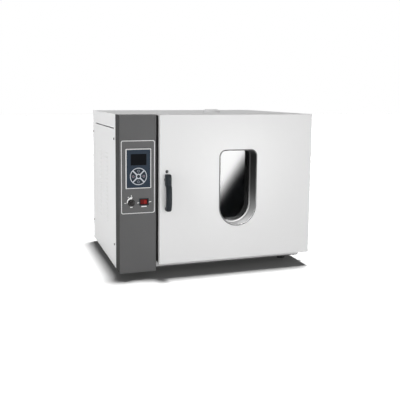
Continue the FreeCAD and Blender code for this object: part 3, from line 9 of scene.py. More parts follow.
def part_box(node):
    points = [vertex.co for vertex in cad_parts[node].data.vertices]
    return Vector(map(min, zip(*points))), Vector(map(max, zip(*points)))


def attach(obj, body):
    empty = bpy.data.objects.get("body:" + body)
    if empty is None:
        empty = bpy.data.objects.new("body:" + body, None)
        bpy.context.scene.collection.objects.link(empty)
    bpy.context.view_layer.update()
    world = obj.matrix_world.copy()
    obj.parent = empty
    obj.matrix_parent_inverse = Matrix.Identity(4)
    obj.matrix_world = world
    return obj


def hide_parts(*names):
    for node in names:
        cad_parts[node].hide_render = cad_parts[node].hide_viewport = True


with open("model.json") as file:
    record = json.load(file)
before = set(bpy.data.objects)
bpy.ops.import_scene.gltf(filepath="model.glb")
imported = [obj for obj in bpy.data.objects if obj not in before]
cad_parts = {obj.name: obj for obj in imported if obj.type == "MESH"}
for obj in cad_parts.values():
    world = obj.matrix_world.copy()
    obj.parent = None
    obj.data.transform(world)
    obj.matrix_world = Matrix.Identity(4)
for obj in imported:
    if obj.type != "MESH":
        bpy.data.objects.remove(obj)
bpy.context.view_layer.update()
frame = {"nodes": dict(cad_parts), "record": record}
NODES = frame["nodes"]
RECORD = frame["record"]
MM = 0.001

# The case's own corner: left side, door's front face, underside of the cabinet
CASE = Vector((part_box("front_frame")[0].x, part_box("door_skin")[0].y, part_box("front_frame")[0].z))

# Camera, fitted to the photograph's edges
FOCAL_PX = 565.53
FRAME_PX = 400.0
CENTRE_PX = (176.62, 158.23)
CAMERA_MM = (-358.5, -1667.5, 560.0)
YAW = 0.309
PITCH = 0.111
ROLL = 0.006
SENSOR_MM = 36.0
FAR_CLIP = 60.0

# Light levels. LEFT_LEVEL and FRONT_LEVEL are how bright mirrors see the sky on those sides.
# FLOOR_BOUNCE is the floor's colour for the light it throws, FLOOR_GLOSS its level in mirrors.
SKY_LEVEL = 0.275
FRONT_WATTS = 80.0
SIDE_WATTS = 44.0
SUN_STRENGTH = 17.3
SUN_ANGLE = 7.5
FLOOR_COLOUR = 0.22
FLOOR_GLOW = 0.032
FLOOR_BOUNCE = 0.09
FLOOR_GLOSS = 0.4
LEFT_LEVEL = 0.12
FRONT_LEVEL = 0.3
RECESS_WATTS = 1.6
CARD_STRENGTH = 14.0

# Where the reflected sky fades, as the x and the y of its direction
LEFT_FADE = (-0.75, -0.1)
FRONT_FADE = (-0.85, -0.3)

# The lamps' places and targets, in millimetres from the case's corner, and their sizes in metres
LAMP_TARGET = (325, 200, 250)
FRONT_AT = (250, -3000, 400)
FRONT_SIZE = (3.0, 2.6)
SIDE_AT = (-2600, -100, 900)
SIDE_SIZE = (1.8, 1.8)
SUN_AT = (350, 280, 1600)
SUN_TARGET = (240, 210, 0)
RECESS_AT = (396, 13, 175)
RECESS_TARGET = (396, 30, 175)
RECESS_SIZE = 0.01
FLOOR_HALF = 14.0

# The cards, in millimetres: the reflection card's reach past the glass, and its slanted fade, which
# counts the glass's width as 1 across and its height as CARD_SLANT down
CARD_Y = -700.0
CARD_LEFT = 45
CARD_RIGHT = 60
CARD_BELOW = 50
CARD_ABOVE = 40
CARD_SLANT = 1.43
CARD_BLACK_FROM = 1.52
CARD_WHITE_TO = 0.66
CARD_CURVE = 2.2
SHADOW_CARD_UP = 15

# The window's surround, in millimetres: its rim on the door, its tunnel and the lip before the glass.
# The rim's finish ends at RIM_DEPTH, and the lip's begins LIP_DEPTH before the glass.
WINDOW_RIM = 3.5
WINDOW_CORNER = 19.0
WINDOW_RECESS = 42.0
RIM_ROUND = 0.9
RIM_PROUD = 0.6
RIM_DEPTH = 0.8
BEND_ROUND = 1.2
LIP_IN = 4.0
LIP_ROUND = 0.4
LIP_THICK = 1.2
LIP_DEPTH = 1.0
FLANGE_BACK = 5.4

# The knob, in millimetres. The flutes end on the cap, at the share FLUTES_END of its radius.
KNOB_BORE = 5.6
KNOB_FLUTES = 18
KNOB_FLUTE_DEEP = 0.75
KNOB_FLUTE_POWER = 6
KNOB_CAP_INSET = 2.1
KNOB_DOME = 4.2
KNOB_FLATNESS = 0.9
FLUTES_END = 0.925

# The printed marks and the key's spots, in millimetres
KEY_SPOT_OUT = 16.6
KEY_SPOT_R = 4.2
KEY_DOT_R = 2.4
HUB_DISC_R = 5.2
MARK_THICK = 0.15
KEY_MARK_THICK = 0.1

# The rocker, in millimetres and degrees. The highlight is a brighter red patch on its right half: a painted
# highlight.
ROCKER_HALF_W = 10.9
ROCKER_TOP_GAP = 1.1
ROCKER_PROUD = 0.2
ROCKER_SLOPE = 1.9
ROCKER_DISH = 0.35
ROCKER_EDGE = 0.55
ROCKER_SKIRT = 4.5
ROCKER_TILT = 9.0
ROCKER_AXLE = 4.0
HIGHLIGHT_LEFT = 0.4
HIGHLIGHT_RIGHT = 7.6
HIGHLIGHT_HALF_H = 4.4

# The painted shade line at the frame's foot and the painted shade band on the door's edge, in
# millimetres. SUNK is how far a thin piece goes into what carries it.
SHADE_LINE_INSET = 3.0
SHADE_LINE_UP = 0.3
SHADE_LINE_WIDTH = 2.1
BAND_IN = 1.0
BAND_INSET = 3.0
BAND_THICK = 0.25
SUNK = 0.05

# Heights of the fine bumps, in metres
GRAIN_HEIGHT = 0.0002
LINE_HEIGHT = 0.0001


def at_case(x, y, z):
    """A point given in millimetres from the case's corner, in metres in the row's frame."""
    return CASE + Vector((x, y, z)) * MM


# Small helpers for node trees


def feed(tree, socket, value):
    """Gives a socket a plain value, or a link where the value is another socket."""
    if isinstance(value, bpy.types.NodeSocket):
        tree.links.new(value, socket)
    else:
        socket.default_value = value


def worked_out(tree, operation, *values):
    """The result of a Math node for numbers or sockets."""
    node = tree.nodes.new("ShaderNodeMath")
    node.operation = operation
    for socket, value in zip(node.inputs, values):
        feed(tree, socket, value)
    return node.outputs[0]


def mapped(tree, value, given, wanted, curve="LINEAR"):
    """Maps a value from the given range to the wanted one. Each bound is a number or a socket."""
    node = tree.nodes.new("ShaderNodeMapRange")
    node.interpolation_type = curve
    tree.links.new(value, node.inputs["Value"])
    for name, bound in zip(("From Min", "From Max", "To Min", "To Max"), (*given, *wanted)):
        feed(tree, node.inputs[name], bound)
    return node.outputs["Result"]


def light_path(tree, ray):
    """A value that is 1 for the named kind of ray and 0 for the others."""
    return tree.nodes.new("ShaderNodeLightPath").outputs[ray]


def new_group(name, inputs, outputs):
    """An empty node group. Inputs are (name, kind, value); outputs are (name, kind)."""
    tree = bpy.data.node_groups.new(name, "ShaderNodeTree")
    for label, kind, value in inputs:
        socket = tree.interface.new_socket(label, in_out="INPUT", socket_type=kind)
        socket.default_value = value
    for label, kind in outputs:
        tree.interface.new_socket(label, in_out="OUTPUT", socket_type=kind)
    return tree, tree.nodes.new("NodeGroupInput"), tree.nodes.new("NodeGroupOutput")


def noise(tree, coordinates, scale, detail, rough=0.5):
    """A noise pattern. Its scale is a number or a socket."""
    node = tree.nodes.new("ShaderNodeTexNoise")
    node.inputs["Detail"].default_value = detail
    node.inputs["Roughness"].default_value = rough
    tree.links.new(coordinates, node.inputs["Vector"])
    feed(tree, node.inputs["Scale"], scale)
    return node.outputs["Fac"]


def bumped(tree, height, strength, distance):
    """A normal that follows a height pattern."""
    node = tree.nodes.new("ShaderNodeBump")
    node.inputs["Distance"].default_value = distance
    tree.links.new(strength, node.inputs["Strength"])
    tree.links.new(height, node.inputs["Height"])
    return node.outputs["Normal"]


# Camera, light and floor


def make_camera():
    """A camera whose axes follow from its yaw, pitch and roll: forward, right and up are unit vectors."""
    forward = Vector((math.sin(YAW) * math.cos(PITCH), math.cos(YAW) * math.cos(PITCH), -math.sin(PITCH)))
    level = Vector((math.cos(YAW), -math.sin(YAW), 0))
    upright = level.cross(forward)
    right = level * math.cos(ROLL) + upright * math.sin(ROLL)
    up = upright * math.cos(ROLL) - level * math.sin(ROLL)
    data = bpy.data.cameras.new("camera")
    data.sensor_width = SENSOR_MM
    data.lens = FOCAL_PX / FRAME_PX * data.sensor_width
    data.shift_x = 0.5 - CENTRE_PX[0] / FRAME_PX
    data.shift_y = CENTRE_PX[1] / FRAME_PX - 0.5
    data.clip_end = FAR_CLIP
    camera = bpy.data.objects.new("camera", data)
    bpy.context.scene.collection.objects.link(camera)
    turn = Matrix((right, up, -forward)).transposed()
    camera.matrix_world = Matrix.Translation(at_case(*CAMERA_MM)) @ turn.to_4x4()
    bpy.context.scene.camera = camera


def seen_directly(tree):
    """A value that is 1 for camera, glossy and transmission rays, and 0 for the rays that light things."""
    kinds = ("Is Camera Ray", "Is Glossy Ray", "Is Transmission Ray")
    camera, glossy, through = (light_path(tree, kind) for kind in kinds)
    return worked_out(tree, "MAXIMUM", worked_out(tree, "MAXIMUM", camera, glossy), through)


def sky(tree, strength):
    """A white background shader of a strength that is a number or a socket."""
    node = tree.nodes.new("ShaderNodeBackground")
    node.inputs["Color"].default_value = (1.0, 1.0, 1.0, 1.0)
    feed(tree, node.inputs["Strength"], strength)
    return node.outputs[0]


def make_world():
    """A soft even sky. It looks plain white to the camera. Mirrors and glass see it darker to the left
    and to the front."""
    world = bpy.data.worlds.new("studio")
    bpy.context.scene.world = world
    world.use_nodes = True
    tree = world.node_tree
    tree.nodes.clear()
    split = tree.nodes.new("ShaderNodeSeparateXYZ")
    tree.links.new(tree.nodes.new("ShaderNodeTexCoord").outputs["Generated"], split.inputs[0])
    left = mapped(tree, split.outputs["X"], LEFT_FADE, (LEFT_LEVEL, 1.0), "SMOOTHSTEP")
    front = mapped(tree, split.outputs["Y"], FRONT_FADE, (FRONT_LEVEL, 1.0), "SMOOTHSTEP")
    mirrored = worked_out(tree, "MULTIPLY", left, front)
    seen = worked_out(tree, "MAXIMUM", mirrored, light_path(tree, "Is Camera Ray"))
    mix = tree.nodes.new("ShaderNodeMixShader")
    out = tree.nodes.new("ShaderNodeOutputWorld")
    tree.links.new(seen_directly(tree), mix.inputs[0])
    tree.links.new(sky(tree, SKY_LEVEL), mix.inputs[1])
    tree.links.new(sky(tree, seen), mix.inputs[2])
    tree.links.new(mix.outputs[0], out.inputs["Surface"])


def add_lamp(data, place, target, named, lit):
    """Places a lamp. It lights either the named objects alone or everything but them."""
    lamp = bpy.data.objects.new(data.name, data)
    bpy.context.scene.collection.objects.link(lamp)
    lamp.location = place
    lamp.rotation_euler = (target - place).to_track_quat("-Z", "Y").to_euler()
    receivers = bpy.data.collections.new(data.name + "_receivers")
    for obj in named:
        receivers.objects.link(obj)
    for row in receivers.collection_objects:
        row.light_linking.link_state = "INCLUDE" if lit else "EXCLUDE"
    lamp.light_linking.receiver_collection = receivers
    lamp.visible_glossy = False
    lamp.visible_camera = False


def soft_box(name, size, watts):
    """A rectangular lamp. The size is its width and height in metres."""
    data = bpy.data.lights.new(name, "AREA")
    data.shape = "RECTANGLE"
    data.size, data.size_y = size
    data.energy = watts
    return data


def make_lamps(floor):
    """Two soft boxes for the object, and a broad sun that throws its shadow on the floor.
    The soft box on the left is flagged off the dark column."""
    target = at_case(*LAMP_TARGET)
    front = soft_box("front", FRONT_SIZE, FRONT_WATTS)
    side = soft_box("side", SIDE_SIZE, SIDE_WATTS)
    sun = bpy.data.lights.new("sun", "SUN")
    sun.energy = SUN_STRENGTH
    sun.angle = math.radians(SUN_ANGLE)
    add_lamp(front, at_case(*FRONT_AT), target, [floor], False)
    add_lamp(side, at_case(*SIDE_AT), target, [floor, NODES["control_column"]], False)
    add_lamp(sun, at_case(*SUN_AT), at_case(*SUN_TARGET), [floor], True)


def light_recess(surround):
    """A small lamp in the mouth of the window for the low end of its surround."""
    lamp = bpy.data.lights.new("recess", "POINT")
    lamp.energy = RECESS_WATTS
    lamp.shadow_soft_size = RECESS_SIZE
    add_lamp(lamp, at_case(*RECESS_AT), at_case(*RECESS_TARGET), [surround], True)


def flat_sheet(name, corners, unseen_by=()):
    """A flat piece of the set: every four corners are one quad. The rays named in unseen_by miss it."""
    mesh = bpy.data.meshes.new(name)
    faces = [tuple(range(i, i + 4)) for i in range(0, len(corners), 4)]
    mesh.from_pydata([tuple(p) for p in corners], [], faces)
    sheet = bpy.data.objects.new(name, mesh)
    bpy.context.scene.collection.objects.link(sheet)
    for ray in unseen_by:
        setattr(sheet, "visible_" + ray, False)
    return sheet


def bare_material(name):
    """A material that holds no node but its output, for the pieces of the set."""
    material = bpy.data.materials.new(name)
    material.use_nodes = True
    tree = material.node_tree
    tree.nodes.clear()
    return material, tree, tree.nodes.new("ShaderNodeOutputMaterial").inputs["Surface"]


def make_floor():
    """A wide white floor, lit to plain white where no shadow falls. It throws less light back up: its
    colour and its glow count fully only for rays that see it directly, and mirrors see it dimmed."""
    half = FLOOR_HALF
    floor = flat_sheet("floor", [(-half, -half, 0), (half, -half, 0), (half, half, 0), (-half, half, 0)])
    material, tree, surface = bare_material("floor_white")
    dimmed = worked_out(tree, "MULTIPLY_ADD", light_path(tree, "Is Glossy Ray"), FLOOR_GLOSS - 1.0, 1.0)
    part = worked_out(tree, "MULTIPLY", seen_directly(tree), dimmed)
    shade = tree.nodes.new("ShaderNodeMix")
    shade.data_type = "RGBA"
    shade.inputs[6].default_value = (FLOOR_BOUNCE, FLOOR_BOUNCE, FLOOR_BOUNCE, 1.0)
    shade.inputs[7].default_value = (FLOOR_COLOUR, FLOOR_COLOUR, FLOOR_COLOUR, 1.0)
    diffuse = tree.nodes.new("ShaderNodeBsdfDiffuse")
    glow = tree.nodes.new("ShaderNodeEmission")
    both = tree.nodes.new("ShaderNodeAddShader")
    tree.links.new(part, shade.inputs[0])
    tree.links.new(shade.outputs[2], diffuse.inputs["Color"])
    tree.links.new(worked_out(tree, "MULTIPLY", part, FLOOR_GLOW), glow.inputs["Strength"])
    tree.links.new(diffuse.outputs[0], both.inputs[0])
    tree.links.new(glow.outputs[0], both.inputs[1])
    tree.links.new(both.outputs[0], surface)
    floor.data.materials.append(material)
    return floor


def make_shadow_card():
    """A card that only shadows see. It keeps the sun out of the slots round the door's edge."""
    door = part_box("door_skin")
    frame_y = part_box("front_frame")[0].y
    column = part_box("control_column")
    z = door[0].z + SHADOW_CARD_UP * MM
    slots = [(column[1].x, door[1].y, door[1].x, frame_y), (column[1].x, column[0].y, door[0].x, door[1].y)]
    corners = []
    for x0, y0, x1, y1 in slots:
        corners += [(x0, y0, z), (x1, y0, z), (x1, y1, z), (x0, y1, z)]
    card = flat_sheet("shadow_card", corners, ("camera", "diffuse", "glossy", "transmission"))


def on_card(x, z):
    """Where the card shows up at the point (x, z) of the glass, all in millimetres from the case's corner.
    A ray from the camera C to the glass at P goes on, mirrored, to P + (P - C) k at the card, where
    k is the distance from glass to card over that from camera to glass."""
    k = (WINDOW_RECESS - CARD_Y) / (WINDOW_RECESS - CAMERA_MM[1])
    return x + (x - CAMERA_MM[0]) * k, z + (z - CAMERA_MM[2]) * k


def make_reflection_card():
    """A card that only reflections see. The window mirrors it: white at its upper left, black below.
    Its light fades along the slant across + down, from the glass's upper left corner."""
    low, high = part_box("window_glass_outer")
    left = (low.x - CASE.x) / MM
    right = (high.x - CASE.x) / MM
    bottom = (low.z - CASE.z) / MM
    top = (high.z - CASE.z) / MM
    x0, z0 = on_card(left - CARD_LEFT, bottom - CARD_BELOW)
    x1, z1 = on_card(right + CARD_RIGHT, top + CARD_ABOVE)
    corners = [at_case(x, CARD_Y, z) for x, z in ((x0, z0), (x1, z0), (x1, z1), (x0, z1))]
    card = flat_sheet("reflection_card", corners, ("camera", "diffuse", "transmission", "shadow"))
    start_x, start_z = on_card(left, top)
    end_x, end_z = on_card(right, bottom)
    across = 1 / ((end_x - start_x) * MM)
    down = CARD_SLANT / ((start_z - end_z) * MM)
    start = at_case(start_x, 0, start_z)
    begin = start.x * across - start.z * down
    material, tree, surface = bare_material("card_light")
    slant = tree.nodes.new("ShaderNodeVectorMath")
    slant.operation = "DOT_PRODUCT"
    slant.inputs[1].default_value = (across, 0, -down)
    tree.links.new(tree.nodes.new("ShaderNodeTexCoord").outputs["Object"], slant.inputs[0])
    fade = (begin + CARD_BLACK_FROM, begin + CARD_WHITE_TO)
    light = mapped(tree, slant.outputs["Value"], fade, (0.0, 1.0), "SMOOTHERSTEP")
    curved = worked_out(tree, "POWER", light, CARD_CURVE)
    glow = tree.nodes.new("ShaderNodeEmission")
    tree.links.new(worked_out(tree, "MULTIPLY", curved, CARD_STRENGTH), glow.inputs["Strength"])
    tree.links.new(glow.outputs[0], surface)
    card.data.materials.append(material)


# Shared effects


def make_grain_group():
    """Fine grain over a surface: a bumped normal, a roughness that drifts, and a faint change of shade."""
    tree, given, out = new_group("surface_grain", [
        ("Grain Scale", "NodeSocketFloat", 900.0),
        ("Bump", "NodeSocketFloat", 0.15),
        ("Rough Low", "NodeSocketFloat", 0.35),
        ("Rough High", "NodeSocketFloat", 0.45),
        ("Shade Low", "NodeSocketFloat", 0.97),
        ("Shade High", "NodeSocketFloat", 1.0),
    ], [("Normal", "NodeSocketVector"), ("Roughness", "NodeSocketFloat"), ("Shade", "NodeSocketFloat")])
    values = given.outputs
    coordinates = tree.nodes.new("ShaderNodeTexCoord").outputs["Object"]
    fine = noise(tree, coordinates, values["Grain Scale"], 2.0)
    wide = noise(tree, coordinates, 6.0, 3.0, 0.6)
    middling = noise(tree, coordinates, 34.0, 4.0, 0.65)
    rough = mapped(tree, middling, (0.0, 1.0), (values["Rough Low"], values["Rough High"]))
    shade = mapped(tree, wide, (0.0, 1.0), (values["Shade Low"], values["Shade High"]))
    tree.links.new(bumped(tree, fine, values["Bump"], GRAIN_HEIGHT), out.inputs["Normal"])
    tree.links.new(rough, out.inputs["Roughness"])
    tree.links.new(shade, out.inputs["Shade"])
    return tree


def make_brushed_group():
    """Brushed metal: noise stretched along one axis gives fine lines, their shade and their roughness."""
    tree, given, out = new_group("brushed_lines", [
        ("Stretch", "NodeSocketVector", (1.0, 1.0, 1.0)),
        ("Line Scale", "NodeSocketFloat", 700.0),
        ("Bump", "NodeSocketFloat", 0.1),
        ("Rough Low", "NodeSocketFloat", 0.25),
        ("Rough High", "NodeSocketFloat", 0.42),
        ("Shade Low", "NodeSocketFloat", 0.86),
    ], [("Normal", "NodeSocketVector"), ("Roughness", "NodeSocketFloat"), ("Shade", "NodeSocketFloat")])
    values = given.outputs
    stretched = tree.nodes.new("ShaderNodeVectorMath")
    stretched.operation = "MULTIPLY"
    tree.links.new(tree.nodes.new("ShaderNodeTexCoord").outputs["Object"], stretched.inputs[0])
    tree.links.new(values["Stretch"], stretched.inputs[1])
    lines = noise(tree, stretched.outputs[0], values["Line Scale"], 3.0, 0.7)
    rough = mapped(tree, lines, (0.0, 1.0), (values["Rough Low"], values["Rough High"]))
    shade = mapped(tree, lines, (0.0, 1.0), (values["Shade Low"], 1.0))
    tree.links.new(bumped(tree, lines, values["Bump"], LINE_HEIGHT), out.inputs["Normal"])
    tree.links.new(rough, out.inputs["Roughness"])
    tree.links.new(shade, out.inputs["Shade"])
    return tree


GRAIN = make_grain_group()
BRUSHED = make_brushed_group()


# Finishes


def new_material(name):
    """A material with its Principled shader."""
    material = bpy.data.materials.new(name)
    material.use_nodes = True
    tree = material.node_tree
    return material, tree, tree.nodes["Principled BSDF"]


def shaded(tree, shade, colour):
    """The colour times a shade that drifts over the surface: a mix from black with the shade as factor."""
    mix = tree.nodes.new("ShaderNodeMix")
    mix.data_type = "RGBA"
    mix.blend_type = "MIX"
    mix.inputs["A"].default_value = (0.0, 0.0, 0.0, 1.0)
    mix.inputs["B"].default_value = (*colour, 1.0)
    tree.links.new(shade, mix.inputs["Factor"])
    return mix.outputs["Result"]


def apply_effect(tree, shader, group, colour, values):
    """Puts an effect group into a material: it drives the colour's shade, the roughness and the normal."""
    effect = tree.nodes.new("ShaderNodeGroup")
    effect.node_tree = group
    for name, value in values.items():
        effect.inputs[name].default_value = value
    tree.links.new(shaded(tree, effect.outputs["Shade"], colour), shader.inputs["Base Color"])
    tree.links.new(effect.outputs["Roughness"], shader.inputs["Roughness"])
    tree.links.new(effect.outputs["Normal"], shader.inputs["Normal"])


def grained(name, colour, grain=900.0, bump=0.15, rough=(0.35, 0.45), shade=(0.97, 1.0), metallic=0.0):
    """A finish with fine grain: paint, moulded plastic, rubber or cast metal by its values."""
    material, tree, shader = new_material(name)
    shader.inputs["Metallic"].default_value = metallic
    apply_effect(tree, shader, GRAIN, colour, {
        "Grain Scale": grain, "Bump": bump, "Rough Low": rough[0], "Rough High": rough[1],
        "Shade Low": shade[0], "Shade High": shade[1],
    })
    return material


def brushed(name, colour, stretch, bump=0.1, rough=(0.25, 0.42), shade=0.86, lines=700.0):
    """Metal with fine parallel lines along the axis whose stretch is small."""
    material, tree, shader = new_material(name)
    shader.inputs["Metallic"].default_value = 1.0
    apply_effect(tree, shader, BRUSHED, colour, {
        "Stretch": stretch, "Line Scale": lines, "Bump": bump,
        "Rough Low": rough[0], "Rough High": rough[1], "Shade Low": shade,
    })
    return material


def clear_glass(name, colour, ior, rough):
    """Tinted glass."""
    material, _, shader = new_material(name)
    shader.inputs["Base Color"].default_value = (*colour, 1.0)
    shader.inputs["Transmission Weight"].default_value = 1.0
    shader.inputs["IOR"].default_value = ior
    shader.inputs["Roughness"].default_value = rough
    return material


def make_finishes():
    """One finish for each material slot of the record."""
    return {
        "painted_white": grained(
            "white_powder_coat", (0.80, 0.80, 0.80), 1100.0, 0.12, (0.36, 0.46), (0.985, 1.0)),
        "painted_dark": grained(
            "dark_powder_coat", (0.102, 0.102, 0.103), 1400.0, 0.25, (0.42, 0.52), (0.95, 1.0)),
        "galvanised": grained(
            "galvanised_sheet", (0.52, 0.53, 0.54), 90.0, 0.05, (0.3, 0.55), (0.8, 1.0), 1.0),
        "stainless": brushed("brushed_stainless", (0.62, 0.62, 0.61), (0.02, 0.02, 1.0)),
        "screw_steel": grained(
            "plated_screws", (0.12, 0.12, 0.12), 500.0, 0.05, (0.2, 0.34), (0.9, 1.0), 1.0),
        "bright_trim": grained(
            "satin_trim", (0.88, 0.88, 0.88), 300.0, 0.02, (0.34, 0.46), (0.95, 1.0), 0.3),
        "wool": grained("mineral_wool", (0.52, 0.47, 0.33), 260.0, 1.0, (0.9, 1.0), (0.7, 1.0)),
        "rubber_black": grained(
            "black_rubber", (0.018, 0.018, 0.018), 700.0, 0.3, (0.55, 0.75), (0.8, 1.0)),
        "silicone": grained("grey_silicone", (0.42, 0.41, 0.39), 600.0, 0.15, (0.5, 0.65), (0.9, 1.0)),
        "motor_aluminium": grained(
            "cast_aluminium", (0.58, 0.59, 0.60), 420.0, 0.3, (0.35, 0.5), (0.85, 1.0), 1.0),
        "shaft_steel": brushed(
            "ground_steel", (0.50, 0.50, 0.50), (1.0, 1.0, 1.0), 0.05, (0.18, 0.3)),
        "heater_sheath": grained(
            "heat_darkened_sheath", (0.17, 0.14, 0.12), 160.0, 0.1, (0.4, 0.6), (0.6, 1.0), 1.0),
        "plated_steel": grained(
            "zinc_plate", (0.56, 0.56, 0.55), 300.0, 0.05, (0.25, 0.42), (0.85, 1.0), 1.0),
        "bush_brass": grained(
            "turned_brass", (0.60, 0.44, 0.17), 300.0, 0.05, (0.2, 0.35), (0.85, 1.0), 1.0),
        "face_blue_grey": grained(
            "blue_grey_film", (0.023, 0.037, 0.057), 2200.0, 0.2, (0.38, 0.5), (0.92, 1.0)),
        "keypad_light": grained(
            "light_key_frame", (0.62, 0.65, 0.70), 1500.0, 0.1, (0.3, 0.42), (0.95, 1.0)),
        "key_dark": grained("dark_keys", (0.018, 0.027, 0.038), 1800.0, 0.2, (0.4, 0.5), (0.9, 1.0)),
        "screen_dark": grained(
            "dark_screen", (0.007, 0.008, 0.010), 300.0, 0.0, (0.06, 0.1), (0.9, 1.0)),
        "black_plastic": grained(
            "black_moulding", (0.012, 0.016, 0.021), 1500.0, 0.3, (0.36, 0.5), (0.9, 1.0)),
        "rocker_red": grained("red_rocker", (0.15, 0.004, 0.003), 900.0, 0.03, (0.2, 0.3), (0.95, 1.0)),
        "window_glass": clear_glass("dark_window_glass", (0.10, 0.11, 0.12), 1.7, 0.02),
    }


def dull(material, level):
    """Lowers the mirror part of a finish. 0.5 is the usual level."""
    for node in material.node_tree.nodes:
        if node.type == "BSDF_PRINCIPLED":
            node.inputs["Specular IOR Level"].default_value = level
    return material


def painted_shade_finish(name, level):
    """A dull dark paint that stands in for shade: painted shade on edges, in gaps and at the foot."""
    return dull(grained(name, (level, level, level), 1400.0, 0.25, (0.5, 0.6), (0.95, 1.0)), 0.2)


def paint_shade_on_sides(node, finish):
    """Gives the faces that look left or right a darker paint: painted shade, where those sides stand in
    shadow.
    """
    mesh = NODES[node].data
    mesh.materials.append(finish)
    for face in mesh.polygons:
        if abs(face.normal.x) > 0.9:
            face.material_index = len(mesh.materials) - 1


def finish_nodes(finishes):
    """Gives every CAD node the finish of its slot."""
    for row in RECORD["subparts"]:
        node = NODES[row["node"]]
        node.data.materials.clear()
        node.data.materials.append(finishes[row["material_slot"]])


# Surfaces worked out on grids


def grid_faces(rows, columns, wrap_rows, wrap_columns):
    """Quads between neighbouring points of a grid, closed round either way."""
    i = np.arange(rows if wrap_rows else rows - 1)
    j = np.arange(columns if wrap_columns else columns - 1)
    i, j = (a.ravel() for a in np.meshgrid(i, j, indexing="ij"))
    i2 = (i + 1) % rows
    j2 = (j + 1) % columns
    return np.stack([i * columns + j, i2 * columns + j, i2 * columns + j2, i * columns + j2], 1)


def new_piece(name, points, faces, finish, body, stands_for=(), smooth=True):
    """Links a mesh given as arrays of points in metres and faces, in the row's frame."""
    mesh = bpy.data.meshes.new(name)
    mesh.from_pydata(np.asarray(points, float).reshape(-1, 3).tolist(), [], [list(f) for f in faces])
    mesh.validate()
    mesh.materials.append(finish)
    piece = bpy.data.objects.new(name, mesh)
    bpy.context.scene.collection.objects.link(piece)
    outward(mesh)
    if smooth:
        mesh.polygons.foreach_set("use_smooth", np.ones(len(mesh.polygons), bool))
    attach(piece, body)
    if stands_for:
        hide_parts(*stands_for)
    return piece


def outward(mesh):
    """Merges doubles and turns all faces outwards."""
    work = bmesh.new()
    work.from_mesh(mesh)
    bmesh.ops.remove_doubles(work, verts=work.verts, dist=1e-7)
    bmesh.ops.recalc_face_normals(work, faces=work.faces)
    work.to_mesh(mesh)
    work.free()


def sharpen(piece, degrees=35.0):
    """Keeps edges sharper than the angle crisp, with the rest smooth."""
    work = bmesh.new()
    work.from_mesh(piece.data)
    limit = math.radians(degrees)
    for edge in work.edges:
        if len(edge.link_faces) == 2 and edge.calc_face_angle(0.0) > limit:
            edge.smooth = False
    work.to_mesh(piece.data)
    work.free()


def along(stations, values, at):
    """A smooth curve through values at the stations: cubic steps whose slope at a station is the
    harmonic mean of the steps beside it, or 0 where they turn."""
    x = np.asarray(stations, float)
    y = np.asarray(values, float)
    step = np.diff(y) / np.diff(x)
    slope = np.zeros(len(x))
    inner = step[1:] * step[:-1] > 0
    slope[1:-1][inner] = 2 * step[1:][inner] * step[:-1][inner] / (step[1:][inner] + step[:-1][inner])
    k = np.clip(np.searchsorted(x, at) - 1, 0, len(x) - 2)
    h = x[k + 1] - x[k]
    t = (at - x[k]) / h
    return ((2 * t ** 3 - 3 * t ** 2 + 1) * y[k] + (t ** 3 - 2 * t ** 2 + t) * h * slope[k]
            + (3 * t ** 2 - 2 * t ** 3) * y[k + 1] + (t ** 3 - t ** 2) * h * slope[k + 1])


# The handle and the window


def lever_handle(finish):
    """The lever as one loft along its height. Each level is a rounded rectangle, a superellipse
    |x/w|^n + |y/d|^n = 1, whose half width w, front and back follow smooth curves of the height."""
    low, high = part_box("lever_handle")
    middle = (low.x + high.x) / 2 / MM
    top = high.z / MM
    back = high.y / MM
    reach = (high.y - low.y) / MM
    # Distance below the top, back and front measured from the door, half width, squareness
    levels = [
        (0.0, 1.6, 17.2, 7.2, 4.0),
        (0.7, 0.7, 18.4, 8.1, 4.5),
        (2.2, 0.0, 19.3, 8.7, 5.0),
        (6.0, 0.0, 19.9, 9.0, 5.5),
        (26.0, 0.0, 21.6, 9.0, 5.5),
        (33.5, 0.2, 22.4, 8.9, 5.2),
        (35.5, 2.5, 23.2, 8.8, 4.6),
        (38.0, 9.8, 25.6, 8.8, 3.8),
        (44.0, 11.8, 27.6, 8.8, 3.3),
        (57.0, 12.4, reach - 0.3, 8.8, 3.2),
        (71.0, 12.8, reach - 0.02, 8.8, 3.2),
        (87.0, 12.4, reach - 0.5, 8.8, 3.2),
        (97.0, 11.2, 28.2, 8.6, 3.4),
        (101.5, 8.4, 27.6, 8.4, 3.8),
        (104.5, 1.6, 27.0, 8.3, 4.6),
        (107.0, 0.0, 26.0, 8.4, 5.0),
        (111.5, 0.0, 24.0, 8.0, 5.0),
        (114.0, 0.8, 21.6, 6.8, 4.6),
        (115.0, 2.4, 19.4, 5.2, 4.0),
    ]
    table = np.array(levels)
    head = np.linspace(0, 6, 14)
    grip = np.linspace(6, 96, 84)
    foot = np.linspace(96, levels[-1][0], 40)
    v = np.concatenate([head[:-1], grip[:-1], foot])
    y_back, y_front, width, power = (along(table[:, 0], table[:, k], v) for k in (1, 2, 3, 4))
    half_deep = (y_front - y_back)[:, None] / 2
    y_middle = back - (y_back + y_front)[:, None] / 2
    a = np.linspace(0, 2 * np.pi, 72, endpoint=False)
    c, s = np.cos(a), np.sin(a)
    e = 2 / power[:, None]
    x = middle + width[:, None] * np.sign(c) * np.abs(c) ** e
    y = y_middle - half_deep * np.sign(s) * np.abs(s) ** e
    z = np.repeat((top - v)[:, None], len(a), 1)
    points = np.stack([x, y, z], 2).reshape(-1, 3)
    faces = grid_faces(len(v), len(a), False, True).tolist()
    faces.append(list(range(len(a))))
    faces.append(list(range(len(points) - len(a), len(points))))
    return new_piece("lever_grip", points * MM, faces, finish, "handle", ["lever_handle"])


